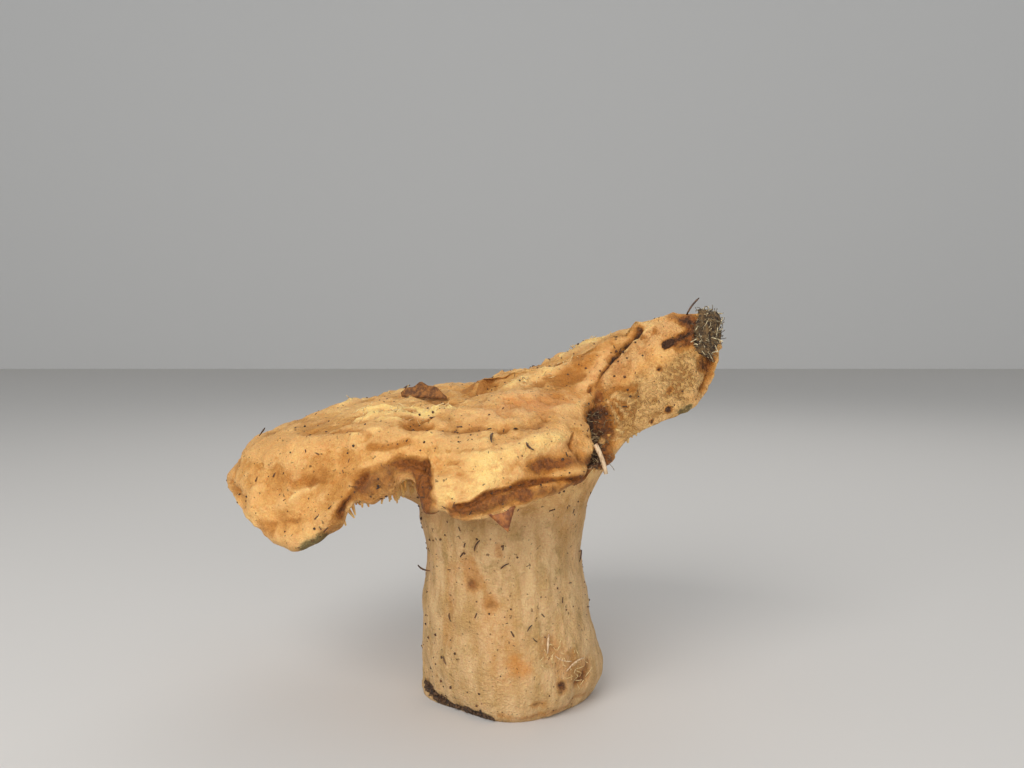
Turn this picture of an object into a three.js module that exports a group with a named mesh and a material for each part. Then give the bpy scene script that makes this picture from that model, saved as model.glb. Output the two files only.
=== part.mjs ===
// Hedgehog mushroom (Hydnum repandum) standing on its cut stem, with the forest litter that clings
// to it. Millimetres, +Z up, +X along the cap's longest spread, -Y the side that faces out.
// The origin is the middle of the flat cut under the stem.
//
// The fruiting body grew as one piece, so it is one closed loft. Its surface is read as
// skin(turn, level): `turn` goes once round the stem through the stations of the cap's edge, and
// `level` climbs from the cut foot, up the stem, out under the cap, round its edge and back over
// the top to the crown. Every piece of litter is laid on that same surface.
import * as THREE from 'three';

// ---- driving dimensions --------------------------------------------------------------------
const GAP = 0.35;                 // clear space between the flesh and what sticks to it
const CROWN = [-6, 5, 60];        // highest point of the cap's middle, where the loft closes
const VAULT_RISE = 0.36;          // how far the underside arches, as a share of the cap's thickness
const RIM_RISE = 0.22;            // the same, close to the margin
const EDGE_SWELL = 1.6;           // how far the rolled edge stands out beyond the margin
const TOP_SWELL = 0.6;            // fullness of the cap between shoulder and crown
const NECK_HEIGHT = 42;           // margin height at which the neck ring stays level
const NECK_FOLLOW = 0.12;         // how much of the margin's rise and fall the neck follows
const TOOTH_LENGTH = 4;           // longest teeth under the cap
const TOOTH_SLIMNESS = 0.8;       // a tooth's length over the width of its cell, where cells are small
const TOOTH_ZONE = [7.7, 9.9];    // levels between which the teeth hang
const TOOTH_TILT = 0.5;           // least downward share of a cell's facing that bears a tooth

// Rings of the stem, from the cut upward: height, centre, radii at 0, 45, 90 ... 315 degrees.
// The two lowest are flattened between 225 and 315 degrees, where the knife slanted.
const STEM = [
  { z: 0, centre: [0, 0], radii: [14.8, 15, 15.5, 16.5, 16.8, 13, 14.6, 13.2] },
  { z: 1.5, centre: [0, 0], radii: [16, 16.2, 16.5, 17, 17, 14, 15.6, 14.6] },
  { z: 5, centre: [0, 0], radii: [17.3, 17, 17, 17.2, 16.9, 15.4, 16.2, 16.2] },
  { z: 10, centre: [-0.6, 0], radii: [16.8, 16.4, 16.5, 16.6, 16.4, 15.8, 16, 16.2] },
  { z: 18, centre: [-1.3, 0], radii: [15.8, 15.6, 15.5, 15.5, 15.5, 15.4, 15.2, 15.4] },
  { z: 26, centre: [-1.6, 0], radii: [14.7, 14.8, 14.5, 14.3, 14.3, 14.6, 14.4, 14.6] },
  { z: 33, centre: [-2, 0.3], radii: [15.6, 15.8, 16, 15.6, 15.4, 15.2, 15.2, 15.4] },
  { z: 38.5, centre: [-2, 0.8], radii: [18, 18.2, 18.5, 18, 17, 16.6, 16.8, 17.2] },
];

// Stations round the cap: azimuth seen from the stem, lower margin x, y, z, top shoulder x, y, z.
const STATIONS = [
  // raised wing on the right
  [0, 38.5, 1, 63.5, 36.5, 2.5, 71.5],
  [14, 37, 8, 64.5, 34, 5.5, 71.5],
  [26, 31, 14, 61, 28, 10, 70.5],
  [38, 25.5, 20.5, 57, 21, 15, 68.5],
  // back of the cap
  [50, 22, 29, 54, 15.5, 21, 65.5],
  [64, 12, 37, 50, 9, 26, 60],
  [80, 0, 40, 47, -1, 29, 57],
  [96, -12, 39, 45, -11, 28.5, 55.5],
  [112, -23, 36, 45, -20.5, 26, 55.5],
  [126, -33, 30, 43, -28.5, 21.5, 54],
  // drooping lobe on the left
  [140, -42, 22, 40.5, -36, 15.5, 53],
  [155, -49, 13, 39, -42, 9, 51],
  [168, -52.3, 4, 39.5, -46.5, 2, 49.5],
  [180, -50.5, -5, 38, -47, -4.5, 48],
  [191, -45, -12, 34.5, -42, -9, 48.5],
  [201, -37.5, -16, 32, -35, -12, 49.5],
  [210, -31, -17.2, 35, -29, -13.5, 50.5],
  // bay between the lobe and the front lip
  [219, -27, -17.5, 39.5, -25, -14, 51],
  [227, -22.5, -17.5, 43, -21, -14.5, 51],
  [235, -18, -18, 44.5, -17, -15, 51.5],
  // front lip
  [243, -14, -20, 43, -13, -17.5, 51],
  [251, -12.5, -24, 40.5, -10.5, -21, 49.5],
  [260, -7.5, -26.5, 38.5, -5.5, -22.5, 49.5],
  [270, 0, -26.5, 40, 0, -22, 50.5],
  [280, 7, -24.5, 42.5, 5.5, -19.5, 52],
  [290, 12.5, -20.5, 44, 9.5, -15.5, 53.5],
  [300, 15.5, -15, 44.5, 13, -11, 55],
  // notch beside the raised wing
  [311, 17.5, -10.5, 46, 15, -6, 58],
  [322, 20.5, -10, 49.5, 18.5, -3, 62.5],
  [333, 26, -10, 52.5, 25, -2, 68],
  [343, 32, -7.5, 54.5, 31, -1, 71.5],
  [352, 36.3, -3.5, 58.5, 34.5, 0, 71.8],
];

// Cells of the mesh: how many round the body, and how many between two levels of the profile.
const COLUMNS = 88;
const SPANS = [[0, 2, 2], [2, 7, 9], [7, 10, 9], [10, 13, 6], [13, 16, 8]];
const TOP_LEVEL = 16;

const COLOURS = {
  flesh: '#dca868',
  soil: '#2e2013',
  moss: '#5b4a2c',
  bark: '#6d3f1c',
  needle: '#3a2412',
  straw: '#e0c48e',
};

// ---- small vector helpers ------------------------------------------------------------------
const vector = (p) => new THREE.Vector3(...p);
const mix = (a, b, share) => a.clone().lerp(b, share);
const wrap = (i, count) => ((i % count) + count) % count;

/** Catmull-Rom value between the numbers b and c, with a before and d after them. */
function spline(a, b, c, d, f) {
  const [slope, bend, twist] = [c - a, 2 * a - 5 * b + 4 * c - d, 3 * b - a - 3 * c + d];
  return 0.5 * (2 * b + slope * f + bend * f ** 2 + twist * f ** 3);
}

/** Closed spline through a list of numbers, read at a position counted in list steps. */
function closedSpline(values, position) {
  const i = Math.floor(position);
  const at = (k) => values[wrap(i + k, values.length)];
  return spline(at(-1), at(0), at(1), at(2), position - i);
}

/** Open spline through a list of vectors, read at a position counted in list steps. */
function openSpline(points, position) {
  const last = points.length - 1;
  const i = Math.min(Math.floor(position), last - 1);
  const before = i > 0 ? points[i - 1] : mix(points[0], points[1], -1);
  const after = i + 2 <= last ? points[i + 2] : mix(points[last], points[last - 1], -1);
  const [b, c] = [points[i], points[i + 1]];
  const along = (axis) => spline(before[axis], b[axis], c[axis], after[axis], position - i);
  return new THREE.Vector3(along('x'), along('y'), along('z'));
}

// ---- the fruiting body's surface -----------------------------------------------------------
const stationColumn = (index, turn) => closedSpline(STATIONS.map((s) => s[index]), turn);
const marginAt = (turn) => vector([1, 2, 3].map((i) => stationColumn(i, turn)));
const shoulderAt = (turn) => vector([4, 5, 6].map((i) => stationColumn(i, turn)));

/** Azimuth in degrees at a turn, straight-line between stations. */
function azimuthAt(turn) {
  const i = Math.floor(wrap(turn, STATIONS.length));
  const next = i + 1 < STATIONS.length ? STATIONS[i + 1][0] : STATIONS[0][0] + 360;
  return STATIONS[i][0] + (next - STATIONS[i][0]) * (wrap(turn, STATIONS.length) - i);
}

/** Turn at an azimuth in degrees, the inverse of azimuthAt. */
function turnAt(azimuth) {
  const a = wrap(azimuth, 360);
  const i = STATIONS.findLastIndex((s) => s[0] <= a);
  const next = i + 1 < STATIONS.length ? STATIONS[i + 1][0] : STATIONS[0][0] + 360;
  return i + (a - STATIONS[i][0]) / (next - STATIONS[i][0]);
}

function stemPoint({ z, centre, radii }, azimuth) {
  const radius = closedSpline(radii, azimuth / 45);
  const a = THREE.MathUtils.degToRad(azimuth);
  return new THREE.Vector3(centre[0] + radius * Math.cos(a), centre[1] + radius * Math.sin(a), z);
}

/** Level direction square to the margin and away from the cap. */
function outwardAt(turn) {
  const along = marginAt(turn + 0.1).sub(marginAt(turn - 0.1));
  return new THREE.Vector3(along.y, -along.x, 0).normalize();
}

/** The profile at one turn: control points from the edge of the cut foot up to the crown. */
function profile(turn) {
  const margin = marginAt(turn);
  const shoulder = shoulderAt(turn);
  const crown = vector(CROWN);
  const stem = STEM.map((ring) => stemPoint(ring, azimuthAt(turn)));
  const neck = stem.at(-1);
  neck.z += NECK_FOLLOW * (margin.z - NECK_HEIGHT);
  const outward = outwardAt(turn);
  const thickness = shoulder.z - margin.z;
  const lift = (p, height) => p.setZ(p.z + height);
  const swell = (share, amount) => mix(margin, shoulder, share).addScaledVector(outward, amount);
  const drop = crown.z - shoulder.z;
  const top = (share, rise, extra) => lift(mix(shoulder, crown, share), rise * drop + extra);
  return [
    ...stem,
    lift(mix(neck, margin, 0.5), VAULT_RISE * thickness),
    lift(mix(neck, margin, 0.78), RIM_RISE * thickness),
    margin,
    swell(0.22, EDGE_SWELL),
    swell(0.6, 0.75 * EDGE_SWELL),
    shoulder,
    top(0.38, 0.12, TOP_SWELL),
    top(0.72, 0.1, TOP_SWELL / 2),
    crown,
  ];
}

const skin = (turn, level) => openSpline(profile(turn), level);

/** Outward direction of the surface, from small steps along both of its directions. */
function skinNormal(turn, level) {
  const step = 0.02;
  const around = skin(turn + step, level).sub(skin(turn - step, level));
  const low = Math.max(level - step, 0);
  const high = Math.min(level + step, TOP_LEVEL);
  return around.cross(skin(turn, high).sub(skin(turn, low))).normalize();
}

/** Turns that divide the cap's margin into equal lengths. */
function evenTurns(count) {
  const fine = 40 * STATIONS.length;
  const turns = Array.from({ length: fine + 1 }, (_, i) => (i / fine) * STATIONS.length);
  const lengths = [0];
  for (let i = 1; i <= fine; i++) {
    lengths.push(lengths[i - 1] + marginAt(turns[i]).distanceTo(marginAt(turns[i - 1])));
  }
  return Array.from({ length: count }, (_, k) => {
    const target = (k / count) * lengths[fine];
    const i = lengths.findIndex((length) => length > target) - 1;
    const share = (target - lengths[i]) / (lengths[i + 1] - lengths[i]);
    return turns[i] + share * (turns[i + 1] - turns[i]);
  });
}

/** Levels of the mesh rows, without the crown, which is one shared point. */
function rowLevels() {
  return SPANS.flatMap(([from, to, cells]) =>
    Array.from({ length: cells }, (_, i) => from + ((to - from) * i) / cells));
}

// ---- mesh building -------------------------------------------------------------------------
function closedMesh(name, points, faces, colour, roughness) {
  const geometry = new THREE.BufferGeometry();
  const coordinates = points.flatMap((point) => point.toArray());
  geometry.setAttribute('position', new THREE.Float32BufferAttribute(coordinates, 3));
  geometry.setIndex(faces.flat());
  geometry.computeVertexNormals();
  return namedMesh(name, geometry, colour, roughness);
}

function namedMesh(name, geometry, colour, roughness) {
  const material = new THREE.MeshStandardMaterial({ color: colour, roughness, metalness: 0 });
  const mesh = new THREE.Mesh(geometry, material);
  mesh.name = name;
  return mesh;
}

/** Length of a cell's tooth: none at neck and margin, nor where the surface faces sideways. */
function toothLength(level, cellSize, facing) {
  const [inner, outer] = TOOTH_ZONE;
  const share = (level - inner) / (outer - inner);
  const hang = (-facing.z - TOOTH_TILT) / (1 - TOOTH_TILT);
  if (share <= 0 || share >= 1 || hang <= 0) return 0;
  return Math.min(TOOTH_LENGTH, TOOTH_SLIMNESS * cellSize) * Math.sqrt(hang * Math.sin(Math.PI * share));
}

/** Cap, teeth and stem as one closed body. Each cell under the cap is drawn out to one tooth. */
function fruitingBody() {
  const turns = evenTurns(COLUMNS);
  const levels = rowLevels();
  const points = levels.flatMap((level) => turns.map((turn) => skin(turn, level)));
  const faces = [];
  const corner = (row, column) => row * COLUMNS + (column % COLUMNS);
  const foot = points.push(new THREE.Vector3(0, 0, 0)) - 1;
  const crown = points.push(vector(CROWN)) - 1;
  for (let column = 0; column < COLUMNS; column++) {
    faces.push([foot, corner(0, column + 1), corner(0, column)]);
    faces.push([crown, corner(levels.length - 1, column), corner(levels.length - 1, column + 1)]);
    for (let row = 0; row + 1 < levels.length; row++) {
      const lower = [corner(row, column), corner(row, column + 1)];
      const upper = [corner(row + 1, column + 1), corner(row + 1, column)];
      faces.push(...cellFaces(points, [...lower, ...upper], (levels[row] + levels[row + 1]) / 2));
    }
  }
  return closedMesh('fruiting_body', points, faces, COLOURS.flesh, 0.6);
}

/** Two triangles of a plain cell, or the four sides of its tooth. */
function cellFaces(points, [a, b, c, d], level) {
  const other = points[d].clone().sub(points[b]);
  const facing = points[c].clone().sub(points[a]).cross(other).normalize();
  const cellSize = Math.min(points[a].distanceTo(points[b]), points[b].distanceTo(points[c]));
  const length = toothLength(level, cellSize, facing);
  if (length === 0) return [[a, b, c], [a, c, d]];
  const middle = new THREE.Vector3();
  for (const i of [a, b, c, d]) middle.addScaledVector(points[i], 0.25);
  const tip = points.push(middle.addScaledVector(facing, length)) - 1;
  return [[a, b, tip], [b, c, tip], [c, d, tip], [d, a, tip]];
}

/**
 * A crust laid on the flesh over a window of azimuths and levels. `depth` gives its thickness from
 * two shares, each 0 to 1 across the window.
 */
function crust({ name, azimuths, levels, cells: [across, up], depth, colour, roughness }) {
  const points = [];
  const layer = (height) => {
    for (let i = 0; i <= up; i++) {
      for (let j = 0; j <= across; j++) {
        const turn = turnAt(THREE.MathUtils.lerp(...azimuths, j / across));
        const level = THREE.MathUtils.lerp(...levels, i / up);
        const lift = GAP + height(j / across, i / up);
        points.push(skin(turn, level).addScaledVector(skinNormal(turn, level), lift));
      }
    }
  };
  layer(() => 0);
  layer(depth);
  return closedMesh(name, points, slabFaces(across, up), colour, roughness);
}

/** Faces of a slab of two grids of points: the under side, the upper side and the four walls. */
function slabFaces(across, up) {
  const at = (top, i, j) => top * (across + 1) * (up + 1) + i * (across + 1) + j;
  const quad = (a, b, c, d) => [[a, b, c], [a, c, d]];
  const faces = [];
  for (let i = 0; i < up; i++) {
    for (let j = 0; j < across; j++) {
      faces.push(...quad(at(1, i, j), at(1, i, j + 1), at(1, i + 1, j + 1), at(1, i + 1, j)));
      faces.push(...quad(at(0, i, j), at(0, i + 1, j), at(0, i + 1, j + 1), at(0, i, j + 1)));
    }
    faces.push(...quad(at(0, i, 0), at(1, i, 0), at(1, i + 1, 0), at(0, i + 1, 0)));
    faces.push(...quad(at(1, i, across), at(0, i, across), at(0, i + 1, across), at(1, i + 1, across)));
  }
  for (let j = 0; j < across; j++) {
    faces.push(...quad(at(1, 0, j), at(0, 0, j), at(0, 0, j + 1), at(1, 0, j + 1)));
    faces.push(...quad(at(0, up, j), at(1, up, j), at(1, up, j + 1), at(0, up, j + 1)));
  }
  return faces;
}

/** A needle or straw: a six-sided rod from one place on the flesh to another, both lifted clear. */
function rod({ name, from, to, lift: [start, end], radius, colour }) {
  const steps = 4;
  const path = Array.from({ length: steps + 1 }, (_, i) => {
    const share = i / steps;
    const turn = turnAt(THREE.MathUtils.lerp(from[0], to[0], share));
    const level = THREE.MathUtils.lerp(from[1], to[1], share);
    const clear = radius + GAP + THREE.MathUtils.lerp(start, end, share);
    return skin(turn, level).addScaledVector(skinNormal(turn, level), clear);
  });
  const section = new THREE.Shape(Array.from({ length: 6 }, (_, k) => {
    const a = (k * Math.PI) / 3;
    return new THREE.Vector2(radius * Math.cos(a), radius * Math.sin(a));
  }));
  const extrudePath = new THREE.CatmullRomCurve3(path);
  const geometry = new THREE.ExtrudeGeometry(section, { steps, extrudePath });
  return namedMesh(name, geometry, colour, 0.7);
}

// ---- the litter that clings to the flesh ---------------------------------------------------
const dome = (j, i) => Math.sin(Math.PI * j) * Math.sin(Math.PI * i);

const CRUSTS = [
  {
    name: 'soil_crust', azimuths: [186, 262], levels: [0.35, 1.75], cells: [16, 4],
    depth: (j, i) => 0.25 + 0.7 * dome(j, i), colour: COLOURS.soil, roughness: 0.95,
  },
  {
    name: 'litter_tuft', azimuths: [343, 364], levels: [11.2, 13.3], cells: [10, 8],
    depth: (j, i) => 0.3 + 1.8 * dome(j, i), colour: COLOURS.moss, roughness: 0.95,
  },
  {
    name: 'bark_flake', azimuths: [203, 215], levels: [14.3, 14.6], cells: [8, 2],
    depth: (j, i) => 0.3 + 0.5 * dome(j, i), colour: COLOURS.bark, roughness: 0.8,
  },
];

const RODS = [
  {
    name: 'straw_stub', from: [295, 11.75], to: [300.5, 10.3], lift: [0.5, 0.5], radius: 0.4,
    colour: COLOURS.straw,
  },
  {
    name: 'straw_stem', from: [297, 3.55], to: [298.5, 3.2], lift: [0, 0], radius: 0.25,
    colour: COLOURS.straw,
  },
  {
    name: 'needle_upper', from: [341, 13.1], to: [342, 13.2], lift: [0, 3.4], radius: 0.2,
    colour: COLOURS.needle,
  },
  {
    name: 'needle_lip', from: [266, 13.35], to: [261.5, 12.8], lift: [0, 0], radius: 0.3,
    colour: COLOURS.needle,
  },
  {
    name: 'needle_face', from: [275.5, 12.7], to: [273.5, 12.4], lift: [0, 0], radius: 0.25,
    colour: COLOURS.needle,
  },
  {
    name: 'needle_lobe', from: [178, 13.05], to: [179.5, 13.2], lift: [0, 1.6], radius: 0.2,
    colour: COLOURS.needle,
  },
  {
    name: 'needle_stem', from: [199, 4.9], to: [197.5, 4.85], lift: [0, 1.8], radius: 0.2,
    colour: COLOURS.needle,
  },
];

const hedgehogMushroom = new THREE.Group();
hedgehogMushroom.add(fruitingBody(), ...CRUSTS.map(crust), ...RODS.map(rod));

export default hedgehogMushroom;
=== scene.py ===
"""Looks of a hedgehog mushroom that stands on its cut stem, with the forest litter on its skin.

The mushroom grew as one piece. Its skin is a closed loft, read by azimuth round the stem and by
level up the profile, and every mark and crumb is placed on it by those two numbers.
"""

import math

import bpy
import numpy as np
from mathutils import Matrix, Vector, noise


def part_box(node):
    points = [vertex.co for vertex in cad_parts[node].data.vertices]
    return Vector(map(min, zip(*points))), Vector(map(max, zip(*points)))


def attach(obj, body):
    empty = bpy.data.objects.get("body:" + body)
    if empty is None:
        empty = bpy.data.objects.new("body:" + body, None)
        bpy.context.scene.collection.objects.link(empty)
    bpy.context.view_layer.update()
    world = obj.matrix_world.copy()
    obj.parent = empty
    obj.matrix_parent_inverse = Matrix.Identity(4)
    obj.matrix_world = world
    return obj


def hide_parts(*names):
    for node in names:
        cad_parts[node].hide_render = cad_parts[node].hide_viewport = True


bl_info = {
    "name": "Hedgehog Mushroom",
    "version": (1, 0, 0),
    "blender": (4, 5, 0),
    "location": "3D View > Sidebar > Mushroom",
    "description": "Builds a picked hedgehog mushroom with its teeth, bruises and clinging litter",
    "category": "Add Mesh",
}

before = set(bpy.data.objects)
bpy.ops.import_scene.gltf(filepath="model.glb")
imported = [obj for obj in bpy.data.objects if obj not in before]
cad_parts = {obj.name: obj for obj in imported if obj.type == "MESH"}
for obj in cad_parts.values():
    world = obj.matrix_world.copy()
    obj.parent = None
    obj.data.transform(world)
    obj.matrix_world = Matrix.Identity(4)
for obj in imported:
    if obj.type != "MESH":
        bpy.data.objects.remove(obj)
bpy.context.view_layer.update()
BODY_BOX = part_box("fruiting_body")
MM = 0.001

# ---- the loft of the fruiting body, in millimetres, as the CAD solid has it ------------------
CROWN = (-6, 5, 60)
VAULT_RISE = 0.36
RIM_RISE = 0.22
EDGE_SWELL = 1.6
TOP_SWELL = 0.6
NECK_HEIGHT = 42
NECK_FOLLOW = 0.12

# Height, centre x and y, then radii at 0, 45, 90 ... 315 degrees.
STEM = np.array([
    (0, 0, 0, 14.8, 15, 15.5, 16.5, 16.8, 13, 14.6, 13.2),
    (1.5, 0, 0, 16, 16.2, 16.5, 17, 17, 14, 15.6, 14.6),
    (5, 0, 0, 17.3, 17, 17, 17.2, 16.9, 15.4, 16.2, 16.2),
    (10, -0.6, 0, 16.8, 16.4, 16.5, 16.6, 16.4, 15.8, 16, 16.2),
    (18, -1.3, 0, 15.8, 15.6, 15.5, 15.5, 15.5, 15.4, 15.2, 15.4),
    (26, -1.6, 0, 14.7, 14.8, 14.5, 14.3, 14.3, 14.6, 14.4, 14.6),
    (33, -2, 0.3, 15.6, 15.8, 16, 15.6, 15.4, 15.2, 15.2, 15.4),
    (38.5, -2, 0.8, 18, 18.2, 18.5, 18, 17, 16.6, 16.8, 17.2),
])

# Azimuth, then the lower margin's x, y, z and the top shoulder's x, y, z.
STATIONS = np.array([
    (0, 38.5, 1, 63.5, 36.5, 2.5, 71.5),
    (14, 37, 8, 64.5, 34, 5.5, 71.5),
    (26, 31, 14, 61, 28, 10, 70.5),
    (38, 25.5, 20.5, 57, 21, 15, 68.5),
    (50, 22, 29, 54, 15.5, 21, 65.5),
    (64, 12, 37, 50, 9, 26, 60),
    (80, 0, 40, 47, -1, 29, 57),
    (96, -12, 39, 45, -11, 28.5, 55.5),
    (112, -23, 36, 45, -20.5, 26, 55.5),
    (126, -33, 30, 43, -28.5, 21.5, 54),
    (140, -42, 22, 40.5, -36, 15.5, 53),
    (155, -49, 13, 39, -42, 9, 51),
    (168, -52.3, 4, 39.5, -46.5, 2, 49.5),
    (180, -50.5, -5, 38, -47, -4.5, 48),
    (191, -45, -12, 34.5, -42, -9, 48.5),
    (201, -37.5, -16, 32, -35, -12, 49.5),
    (210, -31, -17.2, 35, -29, -13.5, 50.5),
    (219, -27, -17.5, 39.5, -25, -14, 51),
    (227, -22.5, -17.5, 43, -21, -14.5, 51),
    (235, -18, -18, 44.5, -17, -15, 51.5),
    (243, -14, -20, 43, -13, -17.5, 51),
    (251, -12.5, -24, 40.5, -10.5, -21, 49.5),
    (260, -7.5, -26.5, 38.5, -5.5, -22.5, 49.5),
    (270, 0, -26.5, 40, 0, -22, 50.5),
    (280, 7, -24.5, 42.5, 5.5, -19.5, 52),
    (290, 12.5, -20.5, 44, 9.5, -15.5, 53.5),
    (300, 15.5, -15, 44.5, 13, -11, 55),
    (311, 17.5, -10.5, 46, 15, -6, 58),
    (322, 20.5, -10, 49.5, 18.5, -3, 62.5),
    (333, 26, -10, 52.5, 25, -2, 68),
    (343, 32, -7.5, 54.5, 31, -1, 71.5),
    (352, 36.3, -3.5, 58.5, 34.5, 0, 71.8),
])

# Levels of the profile: the stem's rings come first, then what lies beyond the neck.
FOOT, NECK, MARGIN, SHOULDER, TOP = 0, 7, 10, 13, 16


# ---- numbers: splines, noise and distances -----------------------------------------------------
def spline(a, b, c, d, f):
    """Catmull-Rom value between b and c."""
    return 0.5 * (2 * b + (c - a) * f + (2 * a - 5 * b + 4 * c - d) * f**2
                  + (3 * b - a - 3 * c + d) * f**3)


def closed_spline(rows, position):
    """Closed spline through the rows, read at many positions counted in rows."""
    i = np.floor(position).astype(int)
    a, b, c, d = (rows[(i + k) % len(rows)] for k in (-1, 0, 1, 2))
    return spline(a, b, c, d, (position - i)[:, None])


def turn_of(azimuth):
    """Position among the stations at an azimuth in degrees."""
    ends = np.append(STATIONS[:, 0], STATIONS[0, 0] + 360)
    return np.interp(np.asarray(azimuth, float) % 360, ends, np.arange(len(ends)))


def azimuth_of(turn):
    ends = np.append(STATIONS[:, 0], STATIONS[0, 0] + 360)
    return np.interp(np.asarray(turn) % len(STATIONS), np.arange(len(ends)), ends)


def raised(points, height):
    points = points.copy()
    points[:, 2] += height
    return points


def profile(turn):
    """Control points of the profile at many turns, from the foot's edge up to the crown."""
    margin = closed_spline(STATIONS[:, 1:4], turn)
    shoulder = closed_spline(STATIONS[:, 4:7], turn)
    crown = np.tile(np.array(CROWN, float), (len(turn), 1))
    azimuth = azimuth_of(turn)
    angle = np.radians(azimuth)
    rings = []
    for z, x, y, *radii in STEM:
        radius = closed_spline(np.array(radii)[:, None], azimuth / 45)[:, 0]
        rings.append(np.stack([x + radius * np.cos(angle), y + radius * np.sin(angle),
                               np.full(len(turn), z)], 1))
    rings[-1] = raised(rings[-1], NECK_FOLLOW * (margin[:, 2] - NECK_HEIGHT))
    along = closed_spline(STATIONS[:, 1:4], turn + 0.1) - closed_spline(STATIONS[:, 1:4], turn - 0.1)
    outward = np.stack([along[:, 1], -along[:, 0], 0 * along[:, 0]], 1)
    outward /= np.linalg.norm(outward, axis=1)[:, None]
    thickness = shoulder[:, 2] - margin[:, 2]
    drop = crown[:, 2] - shoulder[:, 2]

    def mixed(a, b, share):
        return a * (1 - share) + b * share

    return np.array(rings + [
        raised(mixed(rings[-1], margin, 0.5), VAULT_RISE * thickness),
        raised(mixed(rings[-1], margin, 0.78), RIM_RISE * thickness),
        margin,
        mixed(margin, shoulder, 0.22) + EDGE_SWELL * outward,
        mixed(margin, shoulder, 0.6) + 0.75 * EDGE_SWELL * outward,
        shoulder,
        raised(mixed(shoulder, crown, 0.38), 0.12 * drop + TOP_SWELL),
        raised(mixed(shoulder, crown, 0.72), 0.1 * drop + TOP_SWELL / 2),
        crown,
    ])


def open_spline(control, level):
    """The control profiles read at one level."""
    i = min(int(level), len(control) - 2)
    before = control[i - 1] if i else 2 * control[0] - control[1]
    after = control[i + 2] if i + 2 < len(control) else 2 * control[-1] - control[-2]
    return spline(before, control[i], control[i + 1], after, level - i)


def smooth_step(value, low, high):
    share = np.clip((value - low) / (high - low), 0, 1)
    return share * share * (3 - 2 * share)


def cloud(points, scale, octaves=3, stretch=(1, 1, 1)):
    """Fractal noise of about -1 to 1 at many points; scale is its grain in millimetres."""
    scaled = points / (scale * np.array(stretch, float))
    return np.array([noise.fractal(Vector(p), 1.0, 2.0, octaves) for p in scaled])


def path_distance(points, path):
    """Distance from many points to a polyline."""
    nearest = np.full(len(points), 1e9)
    for a, b in zip(path[:-1], path[1:]):
        ab = b - a
        share = np.clip((points - a) @ ab / max(ab @ ab, 1e-9), 0, 1)
        nearest = np.minimum(nearest, np.linalg.norm(points - a - share[:, None] * ab, axis=1))
    return nearest


# ---- marks on the skin -------------------------------------------------------------------------
# Each mark runs along places (azimuth, level). Width is its half width and depth how far it sinks,
# both in millimetres. The rest are strengths of the stains that it leaves; on a few marks they paint a
# highlight or shade instead.
def mark(*at, width, depth, **stains):
    """A mark that runs along places (azimuth, level), with the strengths of its stains."""
    return {"at": at, "width": width, "depth": depth, **stains}


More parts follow.
